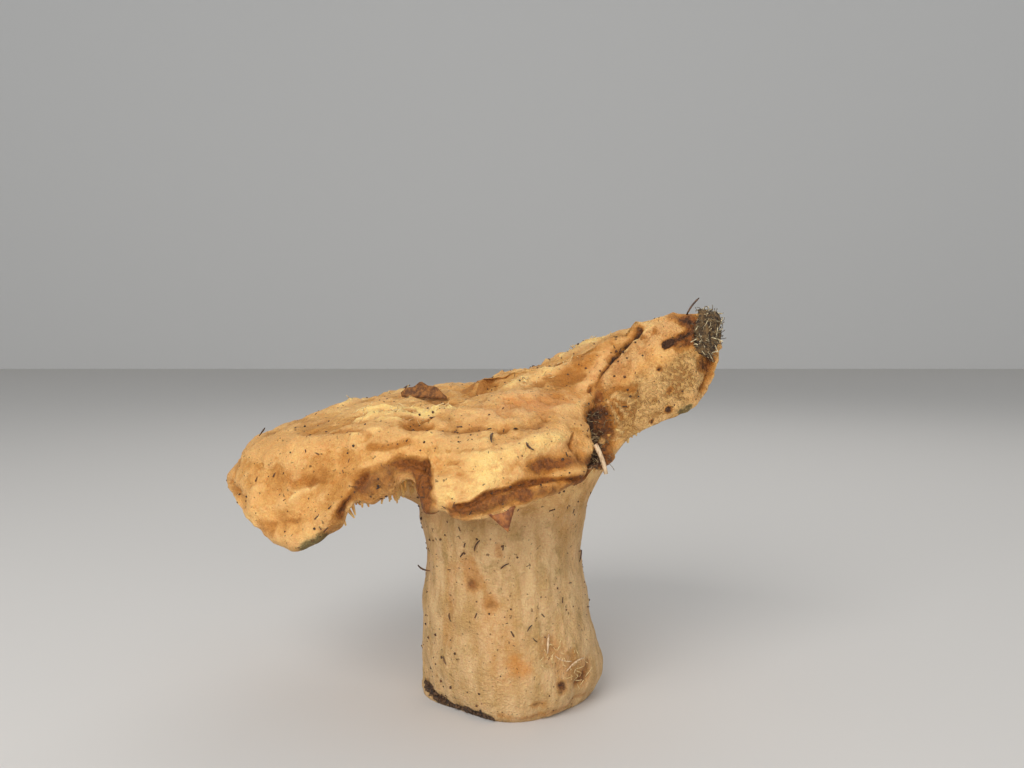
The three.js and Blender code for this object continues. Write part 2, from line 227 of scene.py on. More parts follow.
MARKS = [
    # drooping lobe: gnawed brown inner edge, green rot low on its rim, notches, soft folds
    mark((196, 10.3), (203, 10.2), (211, 10.3), width=2.2, depth=-1.2),
    mark((221, 11.3), (218, 10.8), (215, 10.4), width=0.8, depth=1.2, bruise=0.75, rot=0.3),
    mark((216, 10.7), (213, 10.3), (209, 10.1), width=0.7, depth=0.3, bruise=0.7, rot=0.1),
    mark((208, 10.1), (204, 10.0), width=0.9, depth=0.1, bruise=0.3, green=0.9),
    mark((194, 10.5), (196, 10.45), width=1.2, depth=0.7, bruise=0.5),
    mark((178, 11.1), (181, 10.8), (185, 10.8), width=2.4, depth=1.1),
    mark((181, 11.1), (184, 11.2), width=1.0, depth=0.2, bruise=0.3, ochre=0.5),
    mark((206, 12.9), (203, 11.9), (201, 10.9), width=2.4, depth=0.6),
    mark((196, 12.8), (195, 11.6), (196, 10.8), width=1.8, depth=0.45, bruise=0.1),
    mark((188, 12.6), (193, 13.2), (200, 13.3), width=2.0, depth=0.5, bruise=0.14, ochre=0.4),
    mark((199, 11.6), (204, 11.9), width=0.5, depth=-0.3, pale=0.7),
    mark((209, 12.6), (214, 12.2), (217, 11.7), width=2.0, depth=0.6, bruise=0.2),
    # bay between lobe and lip: a band of red-brown bruise, eaten into hollows
    mark((219, 11.5), (228, 11.3), (235, 11.2), (243, 11.4), width=0.9, depth=0.6, bruise=0.6),
    mark((222, 10.7), (230, 10.5), (238, 10.6), (246, 10.9), width=1.1, depth=0.5, bruise=0.6),
    mark((232, 11.5), (238, 11.2), (243, 11.3), width=1.1, depth=0.9, bruise=0.9, rot=0.3),
    mark((223, 9.9), (229, 9.85), width=1.8, depth=-2.6, bruise=0.2, ochre=0.5),
    mark((232, 9.85), (241, 9.85), width=1.4, depth=-1.2, pale=0.8),
    mark((244, 9.95), (250, 10.0), width=1.6, depth=-2.6, bruise=0.8),
    mark((225, 11.0), (229, 10.7), width=1.5, depth=-0.6, pale=0.5),
    mark((246, 11.4), (250, 11.0), (250, 10.5), width=1.5, depth=0.5, bruise=1.0, rot=0.1),
    mark((245, 11.2), (246, 10.5), width=0.35, depth=-0.5, pale=0.9),
    mark((248, 11.2), (249, 10.6), width=0.35, depth=0.9, bruise=1.0, rot=0.4),
    # top of the cap: the long crease behind the lip, wrinkles that catch the light
    mark((232, 13.2), (244, 13.25), (257, 13.5), (268, 13.45), (280, 13.3),
         width=1.1, depth=0.9, bruise=0.2),
    mark((229, 13.25), (238, 13.3), width=0.8, depth=0.7, bruise=0.55, rot=0.2),
    mark((242, 13.0), (252, 13.1), (262, 13.2), width=1.2, depth=-0.5, pale=0.3),
    mark((196, 13.9), (209, 13.95), (222, 13.8), (236, 13.7),
         width=0.75, depth=-0.8, pale=1.2, fringe=0.9),
    mark((203, 13.6), (214, 13.7), (228, 13.6), (240, 13.95),
         width=0.65, depth=-0.7, pale=1.2, fringe=0.9),
    mark((216, 13.45), (228, 13.42), (236, 13.6), width=0.4, depth=-0.5, pale=0.9, fringe=0.4),
    mark((200, 13.75), (212, 13.82), (224, 13.68), width=0.5, depth=0.8, bruise=0.8, rot=0.2),
    mark((224, 13.5), (236, 13.45), width=0.5, depth=0.9, bruise=0.9, rot=0.3),
    mark((204, 13.2), (212, 13.1), (220, 12.9), width=0.6, depth=0.5, bruise=0.5),
    mark((222, 12.5), (228, 12.3), (234, 12.4), width=0.7, depth=0.6, bruise=0.5),
    mark((213, 13.0), (222, 13.05), width=0.5, depth=-0.5, pale=0.8),
    mark((214, 14.2), (236, 14.3), (262, 14.4), width=0.9, depth=0.5, bruise=0.1),
    mark((190, 15.1), (206, 15.2), (228, 15.3), width=8.0, depth=2.2),
    mark((142, 14.2), (125, 14.3), (106, 14.4), width=7.0, depth=1.1),
    mark((34, 14.3), (42, 13.4), width=6.0, depth=0.7),
    mark((30, 13.2), (14, 13.3), width=4.0, depth=1.1),
    mark((262, 13.9), (276, 13.8), (290, 13.6), width=3.0, depth=0.5, peach=0.5),
    mark((282, 14.2), (292, 13.9), (300, 13.6), width=2.6, depth=0.0, peach=0.9, ochre=0.3),
    # front lip: swollen nose with a painted highlight, a crease with a brown lens below it, brown rot to
    # the right
    mark((254, 11.3), (259, 11.4), (264, 11.8), width=2.8, depth=-1.0, pale=0.75),
    mark((262, 12.5), (272, 12.6), (283, 12.5), width=2.6, depth=-0.7, pale=0.75),
    mark((256, 12.3), (262, 12.2), width=1.8, depth=0.3, bruise=0.12),
    mark((262, 12.0), (272, 12.1), (280, 12.15), width=1.0, depth=0.35, ochre=0.3),
    mark((258, 10.85), (261, 11.0), (265, 11.35), (272, 11.4), (277, 11.25), (284, 10.7), (291, 10.3),
         width=0.4, depth=1.0, bruise=1.25, rot=0.35),
    mark((257, 10.5), (262, 10.8), (267, 11.0), (272, 11.1), width=1.2, depth=-0.25, bruise=1.0),
    mark((272, 10.9), (280, 10.5), (290, 10.2), width=0.9, depth=0.1, bruise=0.8),
    mark((275, 11.9), (279, 11.8), width=1.1, depth=0.5, bruise=0.85, rot=0.15),
    mark((282, 11.6), (288, 11.4), (292, 11.2), width=1.3, depth=0.4, bruise=0.8, rot=0.1),
    mark((281, 11.1), (286, 11.0), width=0.9, depth=-0.3, ochre=0.6),
    mark((276, 11.5), (281, 11.9), (287, 12.0), width=1.8, depth=0.3, bruise=0.35),
    mark((290, 12.55), (288, 12.3), (286.5, 11.9), width=0.22, depth=0.4, bruise=0.7),
    mark((294, 13.4), (300, 13.1), width=1.4, depth=-0.4, pale=0.3),
    # rotten hollow at the lip's right end, under the raised wing
    mark((305, 12.5), (303.5, 12.0), (301, 11.5), (297, 11.0), (294, 10.5),
         width=2.0, depth=2.6, bruise=1.1, rot=0.9, crumb=0.6, fray=1.0),
    mark((310, 12.3), (308.5, 11.6), (305, 11.0), (300, 10.6),
         width=1.0, depth=-0.5, bruise=0.5, ochre=0.4),
    mark((299, 12.7), (304, 12.9), (309, 12.8), width=1.2, depth=0.3, bruise=0.6, fray=0.5),
    # raised wing: the long crack with its ochre flap behind, a fold, pale parallel lines, and painted
    # shade on its face and crest
    mark((310, 13.15), (319, 13.05), (324, 13.12), width=0.22, depth=1.0, bruise=1.3, rot=0.6),
    # Painted highlight: a pale raised line along the crack's lower edge.
    mark((325, 12.98), (330, 13.02), (335, 13.06), width=0.25, depth=-0.4, pale=1.0),
    mark((323, 13.1), (328, 13.15), (334, 13.2), width=0.4, depth=1.9, bruise=1.2, rot=1.2),
    mark((312, 13.35), (320, 13.3), (326, 13.4), width=1.0, depth=-0.5, peach=0.7, pale=0.3),
    mark((325, 13.75), (330, 13.6), (338, 13.45), width=1.3, depth=-1.1, ochre=1.0, bruise=0.3),
    mark((308, 12.8), (314, 12.55), (320, 12.3), (327, 11.8), width=0.6, depth=0.6, bruise=0.45),
    mark((311, 12.7), (313, 13.0), width=0.6, depth=0.5, bruise=0.6),
    mark((315, 12.2), (319.5, 11.3), width=0.24, depth=-0.4, pale=1.0),
    mark((316.5, 12.2), (321, 11.3), width=0.24, depth=0.4, bruise=0.6),
    mark((318, 12.1), (322.5, 11.3), width=0.24, depth=-0.4, pale=0.9),
    mark((319.5, 12.0), (324, 11.4), width=0.24, depth=0.4, bruise=0.5),
    # Painted shade over the wing's granular skin: the pebble strength tints its face olive with grainy
    # dots, and the broad brown band below darkens its crest.
    mark((318, 12.9), (328, 12.8), (338, 12.9), width=2.4, depth=-0.3, peach=0.9, pebble=0.5),
    mark((302, 13.7), (314, 13.8), (326, 13.9), width=3.0, depth=0.6, bruise=0.3, ochre=0.3),
    mark((330, 13.3), (338, 13.2), (343, 13.1), width=1.0, depth=-0.3, pale=0.5, ochre=0.3),
    mark((336, 12.4), (343, 12.42), width=0.45, depth=0.7, bruise=1.3, rot=0.7),
    mark((336, 12.38), (337, 12.42), width=0.7, depth=0.5, bruise=1.2, rot=1.0),
    mark((340, 12.2), (345, 12.25), width=0.9, depth=0.3, bruise=0.75),
    mark((341, 12.95), (344, 12.6), (344, 12.3), width=1.3, depth=0.3, bruise=0.8, rot=0.25),
    mark((334, 11.9), (334.3, 11.9), width=0.45, depth=0.4, bruise=1.2, rot=1.0),
    mark((335, 10.6), (335.3, 10.6), width=0.6, depth=0.4, bruise=1.2, rot=1.1),
    mark((330, 10.35), (330.3, 10.35), width=0.35, depth=0.3, bruise=1.0, rot=0.8),
    mark((336, 11.25), (336.5, 11.3), width=0.4, depth=0.3, bruise=0.9, rot=0.5),
    # Painted shade over the granular skin of the wing's lower face.
    mark((324, 11.2), (334, 11.2), (344, 11.5), width=4.2, depth=0.0, bruise=0.1, pebble=1.0),
    mark((342, 10.3), (339, 10.25), width=0.7, depth=0.3, bruise=0.3, green=0.9),
    mark((357, 11.4), (353, 10.9), width=3.0, depth=1.1),
    mark((354, 11.3), (351, 10.9), (347, 10.6), width=0.8, depth=0.8, bruise=0.7, ochre=0.5),
    mark((344, 12.8), (350, 12.2), (352, 11.6), (348, 11.5), width=1.4, depth=0.3, bruise=0.7, rot=0.5),
    mark((298, 14.9), (310, 14.6), (320, 14.4), (330, 14.2), width=1.2, depth=-0.3, pale=0.8,
         fringe=1.0),
    # stem: rusty stains, a warm spot, a brown patch with straw, dark earth at the cut
    mark((246, 5.15), (249, 4.85), width=1.6, depth=0.15, bruise=0.55, ochre=0.3),
    mark((247.5, 4.75), (248.5, 4.65), width=0.7, depth=0.2, bruise=0.5),
    mark((260, 4.5), (262, 4.3), width=1.2, depth=0.1, bruise=0.55, ochre=0.3),
    mark((232, 5.1), (231, 4.2), (228, 3.5), width=1.6, depth=0.1, bruise=0.36),
    mark((256, 4.1), (262, 3.6), (264, 3.2), width=2.6, depth=0.0, bruise=0.2),
    mark((268, 5.75), (267.5, 5.5), width=0.6, depth=0.1, bruise=0.6),
    mark((262, 4.0), (268, 3.5), (268, 2.9), width=3.4, depth=0.0, ochre=0.4),
    mark((274, 3.05), (278, 2.95), width=1.4, depth=0.0, peach=0.8, ochre=0.3),
    mark((306, 6.9), (318, 6.1), (333, 6.2), width=2.4, depth=0.0, ochre=0.3),
    mark((300, 3.3), (308, 2.9), (318, 2.6), width=2.6, depth=0.15, bruise=0.5, fringe=0.8),
    mark((331, 2.75), (326, 2.3), (318, 2.1), width=1.0, depth=0.35, bruise=0.8, rot=0.1, fringe=0.8),
    mark((303, 2.25), (304, 2.1), width=0.8, depth=0.3, bruise=0.9, rot=0.7),
    mark((284, 1.5), (290, 1.6), width=0.7, depth=0.2, bruise=0.7, rot=0.3),
    mark((262, 1.0), (284, 0.8), (302, 1.0), (330, 1.2), width=0.6, depth=0.0, bruise=0.6, rot=0.1),
    mark((188, 1.1), (196, 0.85), (212, 0.6), (235, 0.5), (254, 0.3), width=0.9, depth=0.3,
         bruise=0.7, rot=1.3, crumb=1.0),
    mark((192, 1.3), (205, 1.0), width=1.0, depth=0.3, bruise=0.6, rot=0.8, crumb=0.8),
    mark((70, 0.7), (110, 0.8), (160, 0.7), width=0.9, depth=0.1, bruise=0.5, rot=0.9, crumb=0.7),
    # back and sides of the cap, as weathered as the front
    mark((30, 11.4), (48, 11.3), (62, 11.2), width=1.5, depth=0.6, bruise=0.7, rot=0.2),
    mark((96, 11.0), (118, 10.9), (136, 11.1), width=1.3, depth=0.6, bruise=0.65, rot=0.1),
    mark((152, 10.8), (166, 10.9), width=1.2, depth=0.4, bruise=0.6),
    mark((76, 13.3), (92, 13.4), (110, 13.3), width=1.2, depth=0.8, bruise=0.15),
    mark((124, 14.0), (146, 13.8), (166, 13.9), width=0.8, depth=-0.6, pale=0.7, fringe=0.5),
    mark((44, 12.9), (62, 13.3), (80, 13.3), width=1.0, depth=0.8, bruise=0.3),
    mark((60, 14.95), (48, 14.6), width=1.6, depth=-0.3, pale=0.8, fringe=1.2),
    mark((46, 13.6), (40, 13.35), width=1.8, depth=-0.3, pale=0.9, fringe=1.2),
    mark((104, 12.4), (110, 13.2), (113, 14.1), width=0.4, depth=0.9, bruise=0.8, rot=0.2),
]
# Hollow is no stain but how far the skin lies below its surroundings, from which the flesh shader paints
# shade into hollows and a highlight onto ridges. The pebble strength is the wing's granular skin and
# painted shade together.
STAINS = ("bruise", "rot", "green", "pale", "ochre", "peach", "pebble", "crumb", "fringe", "fray",
          "hollow")


class Skin:
    """The mushroom's finished surface: a grid of levels by turns, with its stains."""

    def __init__(self, columns, cells):
        self.turns = self.even_turns(columns)
        self.levels = self.spread_levels(cells)
        control = profile(self.turns)
        self.grid = np.array([open_spline(control, level) for level in self.levels])
        self.stains = {name: np.zeros(self.grid.shape[:2]) for name in STAINS}
        self.weather()

    @staticmethod
    def even_turns(count):
        """Turns that share out the margin, a little closer on the side that faces out."""
        fine = np.linspace(0, len(STATIONS), 40 * len(STATIONS) + 1)
        margin = closed_spline(STATIONS[:, 1:4], fine)
        lengths = np.linalg.norm(np.diff(margin, axis=0), axis=1)
        lengths *= np.where(margin[1:, 1] < 0, 1.5, 1.0)
        total = np.append(0, np.cumsum(lengths))
        return np.interp(np.arange(count) / count * total[-1], total, fine)

    @staticmethod
    def spread_levels(cells):
        """Levels from the foot's edge to just below the crown, for cells of each span."""
        spans = ((FOOT, 2), (2, NECK), (NECK, MARGIN), (MARGIN, SHOULDER), (SHOULDER, TOP))
        rows = [np.linspace(low, high, count, endpoint=False)
                for (low, high), count in zip(spans, cells)]
        return np.concatenate(rows)

    def normals(self):
        around = np.roll(self.grid, -1, 1) - np.roll(self.grid, 1, 1)
        up = np.gradient(self.grid, axis=0)
        square = np.cross(around, up)
        return square / np.maximum(np.linalg.norm(square, axis=2), 1e-9)[..., None]

    def spot(self, azimuth, level):
        """Point, outward direction and the level direction round the stem at a place on the skin."""
        count = len(self.turns)
        column = int(round(np.interp(turn_of(azimuth), self.turns, np.arange(count)))) % count
        row = int(np.clip(np.searchsorted(self.levels, level), 1, len(self.levels) - 2))
        out = self.outward[row, column]
        around = self.grid[row, (column + 1) % count] - self.grid[row, column]
        around -= out * (around @ out)
        return self.grid[row, column], out, around / np.linalg.norm(around)

    def weather(self):
        """Sinks, swells and stains the plain loft."""
        shape = self.grid.shape[:2]
        out = self.normals()
        points = self.grid.reshape(-1, 3)
        level = np.repeat(self.levels, shape[1])
        self.outward = out
        rough_edge = cloud(points, 2.6, 3)
        sink = np.zeros(len(points))
        for blemish in MARKS:
            path = np.array([self.spot(*place)[0] for place in blemish["at"]])
            reach = path_distance(points, path) / blemish["width"] * (1 + 0.35 * rough_edge)
            sink += blemish["depth"] * np.exp(-reach**2)
            for name in STAINS:
                if name in blemish:
                    self.stains[name] += blemish[name] * np.exp(-(0.85 * reach)**2.6).reshape(shape)
        sink -= self.ripple(points, level)
        settled = smooth_step(level, 0.0, 0.6)
        crown = 1 - smooth_step(level, TOP - 0.35, TOP)
        moved = points - out.reshape(-1, 3) * (sink * settled * (0.3 + 0.7 * crown))[:, None]
        moved[:, 2] = np.maximum(moved[:, 2], 0)
        self.grid = moved.reshape(*shape, 3)
        self.outward = self.normals()
        # The flesh shader paints shade into hollows and a highlight onto ridges from this depth.
        self.stains["hollow"] = self.relief(60)

    def relief(self, passes):
        """How far each point lies below its surroundings, in millimetres; above them is negative."""
        smooth = self.grid.copy()
        for _ in range(passes):
            below = np.concatenate([smooth[:1], smooth[:-1]])
            above = np.concatenate([smooth[1:], smooth[-1:]])
            smooth = (np.roll(smooth, 1, 1) + np.roll(smooth, -1, 1) + below + above) / 4
        return ((smooth - self.grid) * self.outward).sum(2)

    def ripple(self, points, level):
        """Height of the skin's own unevenness: swells, wrinkles, felt, and the stem's fibres."""
        cap = smooth_step(level, MARGIN, MARGIN + 0.8)
        stem = 1 - smooth_step(level, NECK - 0.5, NECK + 0.5)
        under = 1 - np.clip(cap + stem, 0, 1)
        crest = smooth_step(level, SHOULDER - 0.2, SHOULDER + 0.6)
        swell = 0.8 * cloud(points, 9, 2)
        lump = 0.35 * cloud(points, 3.6, 3)
        wrinkle = 0.5 - 2 * np.abs(cloud(points, 5.0, 4, (2.6, 1.6, 0.7)))
        pit = np.minimum(cloud(points, 1.9, 3) + 0.1, 0)
        crease = np.exp(-(cloud(points, 6.0, 3, (2.5, 1.5, 0.6)) / 0.07)**2)
        rough = 0.4 + 0.6 * smooth_step(cloud(points, 16, 2), -0.4, 0.3)
        fibre = cloud(points, 2.2, 3, (1, 1, 3.5))
        dent = np.minimum(cloud(points, 6.0, 2, (1, 1, 1.6)) + 0.12, 0)
        creased = (0.3 + 0.9 * crest) * wrinkle + 0.8 * pit - (0.12 + 0.45 * crest) * crease
        height = cap * (swell + lump + rough * creased) - 0.4 * crest
        height += stem * (0.5 * swell + 0.5 * lump + 0.16 * fibre + 0.9 * dent + 0.3 * pit)
        notch = np.exp(-((level - MARGIN - 0.6) / 0.7)**2)
        return height + under * 0.2 * swell + notch * 0.6 * cloud(points, 3.2, 3)

    def closed_mesh(self, name):
        """The whole skin as one closed mesh in metres, with its stains as attributes."""
        rows, columns = self.grid.shape[:2]
        rings = [self.grid[0] * (share, share, 0) for share in (0.35, 0.7)]
        points = np.concatenate([[(0, 0, 0)], *rings, self.grid.reshape(-1, 3), [self.crown()]])
        count = rows + len(rings)
        corner = 1 + np.arange(count * columns).reshape(count, columns)
        beside = np.roll(corner, -1, 1)
        last = len(points) - 1
        caps = [(0, b, a) for a, b in zip(corner[0], beside[0])]
        caps += [(last, a, b) for a, b in zip(corner[-1], beside[-1])]
        mesh = bpy.data.meshes.new(name)
        mesh.from_pydata((points * MM).tolist(), [], ring_quads(corner) + caps)
        ends = np.zeros((len(rings), columns))
        for stain in STAINS:
            body = np.concatenate([[0], ends.ravel(), self.stains[stain].ravel(), [0]])
            add_attribute(mesh, stain, body)
        levels = np.concatenate([[0], ends.ravel(), np.repeat(self.levels, columns), [TOP]])
        add_attribute(mesh, "level", levels)
        mesh.shade_smooth()
        return mesh

    def crown(self):
        return self.grid[-1].mean(0)

    def patch_mesh(self, name, low, high, strength):
        """A sheet of the skin between two levels, in metres, for pieces to grow from."""
        keep = (self.levels >= low) & (self.levels <= high)
        grid = self.grid[keep]
        rows, columns = grid.shape[:2]
        corner = np.arange(rows * columns).reshape(rows, columns)
        mesh = bpy.data.meshes.new(name)
        mesh.from_pydata((grid.reshape(-1, 3) * MM).tolist(), [], ring_quads(corner))
        add_attribute(mesh, "strength", strength[keep].ravel())
        return mesh


def ring_quads(corner):
    """Faces between neighbouring rings of a grid of vertex numbers."""
    beside = np.roll(corner, -1, 1)
    return np.stack([corner[:-1], beside[:-1], beside[1:], corner[1:]], -1).reshape(-1, 4).tolist()


def add_attribute(mesh, name, values):
    """Gives each point of a mesh a number."""
    attribute = mesh.attributes.new(name, "FLOAT", "POINT")
    attribute.data.foreach_set("value", np.asarray(values, np.float32))


# ---- shader trees ------------------------------------------------------------------------------
def linear(code):
    """Scene colour of a web colour such as #dca868."""
    parts = [int(code[i:i + 2], 16) / 255 for i in (1, 3, 5)]
    return tuple(p / 12.92 if p <= 0.04045 else ((p + 0.055) / 1.055) ** 2.4 for p in parts) + (1.0,)


class Wire:
    """A number's socket in a shader tree; each operator on it adds its Math node."""

    def __init__(self, shader, socket):
        self.shader = shader
        self.socket = socket

    def math(self, operation, *values, clamp=False):
        settings = {"operation": operation, "use_clamp": clamp}
        return self.shader.node("ShaderNodeMath", settings, dict(enumerate(values)))

    def __add__(self, other):
        return self.math("ADD", self, other)

    def __sub__(self, other):
        return self.math("SUBTRACT", self, other)

    def __rsub__(self, other):
        return self.math("SUBTRACT", other, self)

    def __mul__(self, other):
        return self.math("MULTIPLY", self, other)

    __radd__ = __add__
    __rmul__ = __mul__

    def clamp(self):
        return self.math("ADD", self, 0.0, clamp=True)

    def between(self, low, high):
        """0 below low, 1 above high, smooth between."""
        return self.shader.node("ShaderNodeMapRange", {"interpolation_type": "SMOOTHSTEP"},
                                {"Value": self, "From Min": low, "From Max": high})


class Shader:
    """A material and its node tree."""

    def __init__(self, name, **constants):
        self.material = bpy.data.materials.new(name)
        self.material.use_nodes = True
        self.tree = self.material.node_tree
        self.surface = self.tree.nodes["Principled BSDF"]
        for socket, value in constants.items():
            self.surface.inputs[socket.replace("_", " ")].default_value = value

    def node(self, kind, settings=None, inputs=None, output=0):
        """Adds a node: its settings first, then the values or links of its sockets."""
        node = self.tree.nodes.new(kind)
        for key, value in (settings or {}).items():
            setattr(node, key, value)
        for key, value in (inputs or {}).items():
            if isinstance(value, Wire):
                self.tree.links.new(value.socket, node.inputs[key])
            else:
                node.inputs[key].default_value = value
        return Wire(self, node.outputs[output])

    def place(self, stretch=(1, 1, 1)):
        """Object coordinates, stretched."""
        coordinates = self.node("ShaderNodeTexCoord", output="Object")
        return self.node("ShaderNodeMapping", None, {"Vector": coordinates, "Scale": stretch})

    def noise(self, grain, detail=3.0, stretch=(1, 1, 1), roughness=0.6):
        """Noise of 0 to 1 whose grain is given in millimetres."""
        inputs = {"Vector": self.place(stretch), "Scale": 1 / (grain * MM), "Detail": detail,
                  "Roughness": roughness}
        return self.node("ShaderNodeTexNoise", None, inputs)

    def attribute(self, name):
        return self.node("ShaderNodeAttribute", {"attribute_name": name}, output="Fac")

    def mix(self, share, a, b, blend="MIX"):
        """Colour a turned towards colour b."""
        settings = {"data_type": "RGBA", "blend_type": blend, "clamp_factor": True}
        wire = self.node("ShaderNodeMix", settings, {0: share, 6: a, 7: b})
        return Wire(self, wire.socket.node.outputs[2])

    def set(self, socket, wire):
        self.tree.links.new(wire.socket, self.surface.inputs[socket])

    def bump(self, height, distance, strength=1.0):
        inputs = {"Height": height, "Distance": distance * MM, "Strength": strength}
        self.set("Normal", self.node("ShaderNodeBump", None, inputs))


def flesh_material(look):
    """Felted buff skin on the cap, paler stem and underside, every stain the skin carries, and painted
    shade in hollows with a painted highlight on ridges.
    """
    s = Shader("mushroom_flesh", Subsurface_Weight=0.12, Subsurface_Scale=0.0012,
               Specular_IOR_Level=0.35)
    s.surface.inputs["Subsurface Radius"].default_value = (1.0, 0.55, 0.25)
    level = s.attribute("level")
    cap = level.between(MARGIN - 0.2, MARGIN + 0.7)
    under = level.between(NECK - 0.7, NECK + 0.3) * (1 - cap)
    crest = level.between(SHOULDER - 0.2, SHOULDER + 0.8)
    broad = s.noise(9, 3)
    patch = s.noise(3.0, 4, roughness=0.65)
    fleck = s.noise(0.9, 4, roughness=0.7)
    spots = s.noise(1.7, 5, roughness=0.75)
    streak = s.noise(2.6, 4, (1, 1, 0.35))
    hollow = s.attribute("hollow")
    cap_colour = s.mix(broad.between(0.36, 0.62), look.cap_tan, look.cap_buff)
    cap_colour = s.mix(patch.between(0.5, 0.72) * 0.6, cap_colour, look.cap_orange)
    cap_colour = s.mix(crest * 0.45, cap_colour, look.crest_beige)
    cap_colour = s.mix(spots.between(0.54, 0.68) * 0.5, cap_colour, look.bruise_tan_and_shade)
    wisps = s.noise(1.3, 4, (0.35, 0.6, 1.3), 0.7)
    cap_colour = s.mix(wisps.between(0.56, 0.68) * crest * 0.75, cap_colour, look.highlight)
    cap_colour = s.mix(wisps.between(0.42, 0.3) * crest * 0.7, cap_colour, look.bruise_red_and_shade)
    stem_colour = s.mix(streak.between(0.35, 0.68), look.stem_cream, look.stem_tan)
    stem_colour = s.mix(patch.between(0.52, 0.72) * 0.55, stem_colour, look.stem_brown)
    under_colour = s.mix(patch.between(0.4, 0.7), look.tooth_cream, look.tooth_tan)
    colour = s.mix(cap, stem_colour, cap_colour)
    colour = s.mix(under, colour, under_colour)
    ragged = 0.5 + spots.between(0.3, 0.7)
    # The pale stain is real pale wear on most marks and a painted highlight on the lip's nose and the
    # crack's edge.
    stains = (("peach", look.peach, 0.75), ("ochre", look.ochre, 0.75), ("pale", look.highlight, 0.8))
    for name, tint, power in stains:
        colour = s.mix((s.attribute(name) * ragged * power).clamp(), colour, tint)
    # Painted shade on the wing, over its real granular skin: an olive tint and grainy dark dots.
    grainy = (s.attribute("pebble") * s.noise(0.6, 2).between(0.45, 0.6)).clamp()
    colour = s.mix(s.attribute("pebble").between(0.1, 0.9) * 0.5, colour, look.olive_tan_and_shade)
    colour = s.mix(grainy * 0.6, colour, look.bruise_red_and_shade)
    # Painted shade and highlight: hollows darkened towards bruise tan and red, ridges lightened towards
    # cream.
    colour = s.mix(hollow.between(0.12, 0.5) * (0.1 + 0.5 * cap), colour, look.bruise_tan_and_shade)
    colour = s.mix(hollow.between(0.25, 0.7) * 0.5 * cap, colour, look.bruise_red_and_shade)
    colour = s.mix((0 - hollow).between(0.08, 0.4) * 0.35 * cap, colour, look.highlight)
    harm = s.attribute("bruise")
    bruise = (harm * (0.7 + 0.6 * patch) + 0.9 * (spots - 0.5)) * harm.between(0, 0.3)
    brown = s.mix(fleck.between(0.38, 0.62), look.bruise_dark, look.bruise_red_and_shade)
    colour = s.mix(bruise.between(0.05, 0.6) * (0.5 + 0.3 * cap), colour, look.bruise_tan_and_shade)
    colour = s.mix(bruise.between(0.45, 1.1) * 0.92, colour, brown)
    green = (s.attribute("green") * ragged).between(0.25, 0.8)
    colour = s.mix(green * 0.75, colour, look.green_rot)
    rot = (s.attribute("rot") * ragged).between(0.25, 0.95)
    colour = s.mix(rot * 0.9, colour, s.mix(fleck.between(0.4, 0.6), look.rot_black, look.rot_brown))
    dots = s.noise(0.7, 2, roughness=0.5).between(0.66, 0.72)
    colour = s.mix(dots * 0.75, colour, look.speck)
    pores = s.noise(0.35, 3).between(0.3, 0.7)
    colour = s.mix(0.35, colour, s.mix(pores, look.shade, look.light), "OVERLAY")
    s.set("Base Color", colour)
    s.set("Roughness", 0.56 + 0.16 * fleck - 0.12 * bruise.clamp())
    s.bump(patch * 0.45 + spots * 0.45 + fleck * 0.4 + pores * 0.12 + grainy * 0.3, 0.9, 1.0)
    return s.material


def grain_material(name, dark, light, grain, roughness, depth=0.15, stretch=(1, 1, 1)):
    """Two tones broken up by noise, for litter and teeth."""
    s = Shader(name)
    mottle = s.noise(grain, 4, stretch)
    s.set("Base Color", s.mix(mottle.between(0.36, 0.66), dark, light))
    s.set("Roughness", roughness - 0.12 + 0.2 * mottle)
    s.bump(mottle, depth, 0.8)
    return s.material


def tooth_material(look):
    """Cream teeth mottled with tan and flecked with brown."""
    s = Shader("mushroom_teeth", Subsurface_Weight=0.15, Subsurface_Scale=0.001)
    patch = s.noise(4.5, 3)
    colour = s.mix(patch.between(0.35, 0.68), look.tooth_cream, look.tooth_tan)
    colour = s.mix(s.noise(0.7, 3).between(0.55, 0.75) * 0.5, colour, look.bruise_tan_and_shade)
    s.set("Base Color", colour)
    s.set("Roughness", 0.5 + 0.2 * patch)
    s.bump(s.noise(0.4, 2), 0.1, 0.6)
    return s.material


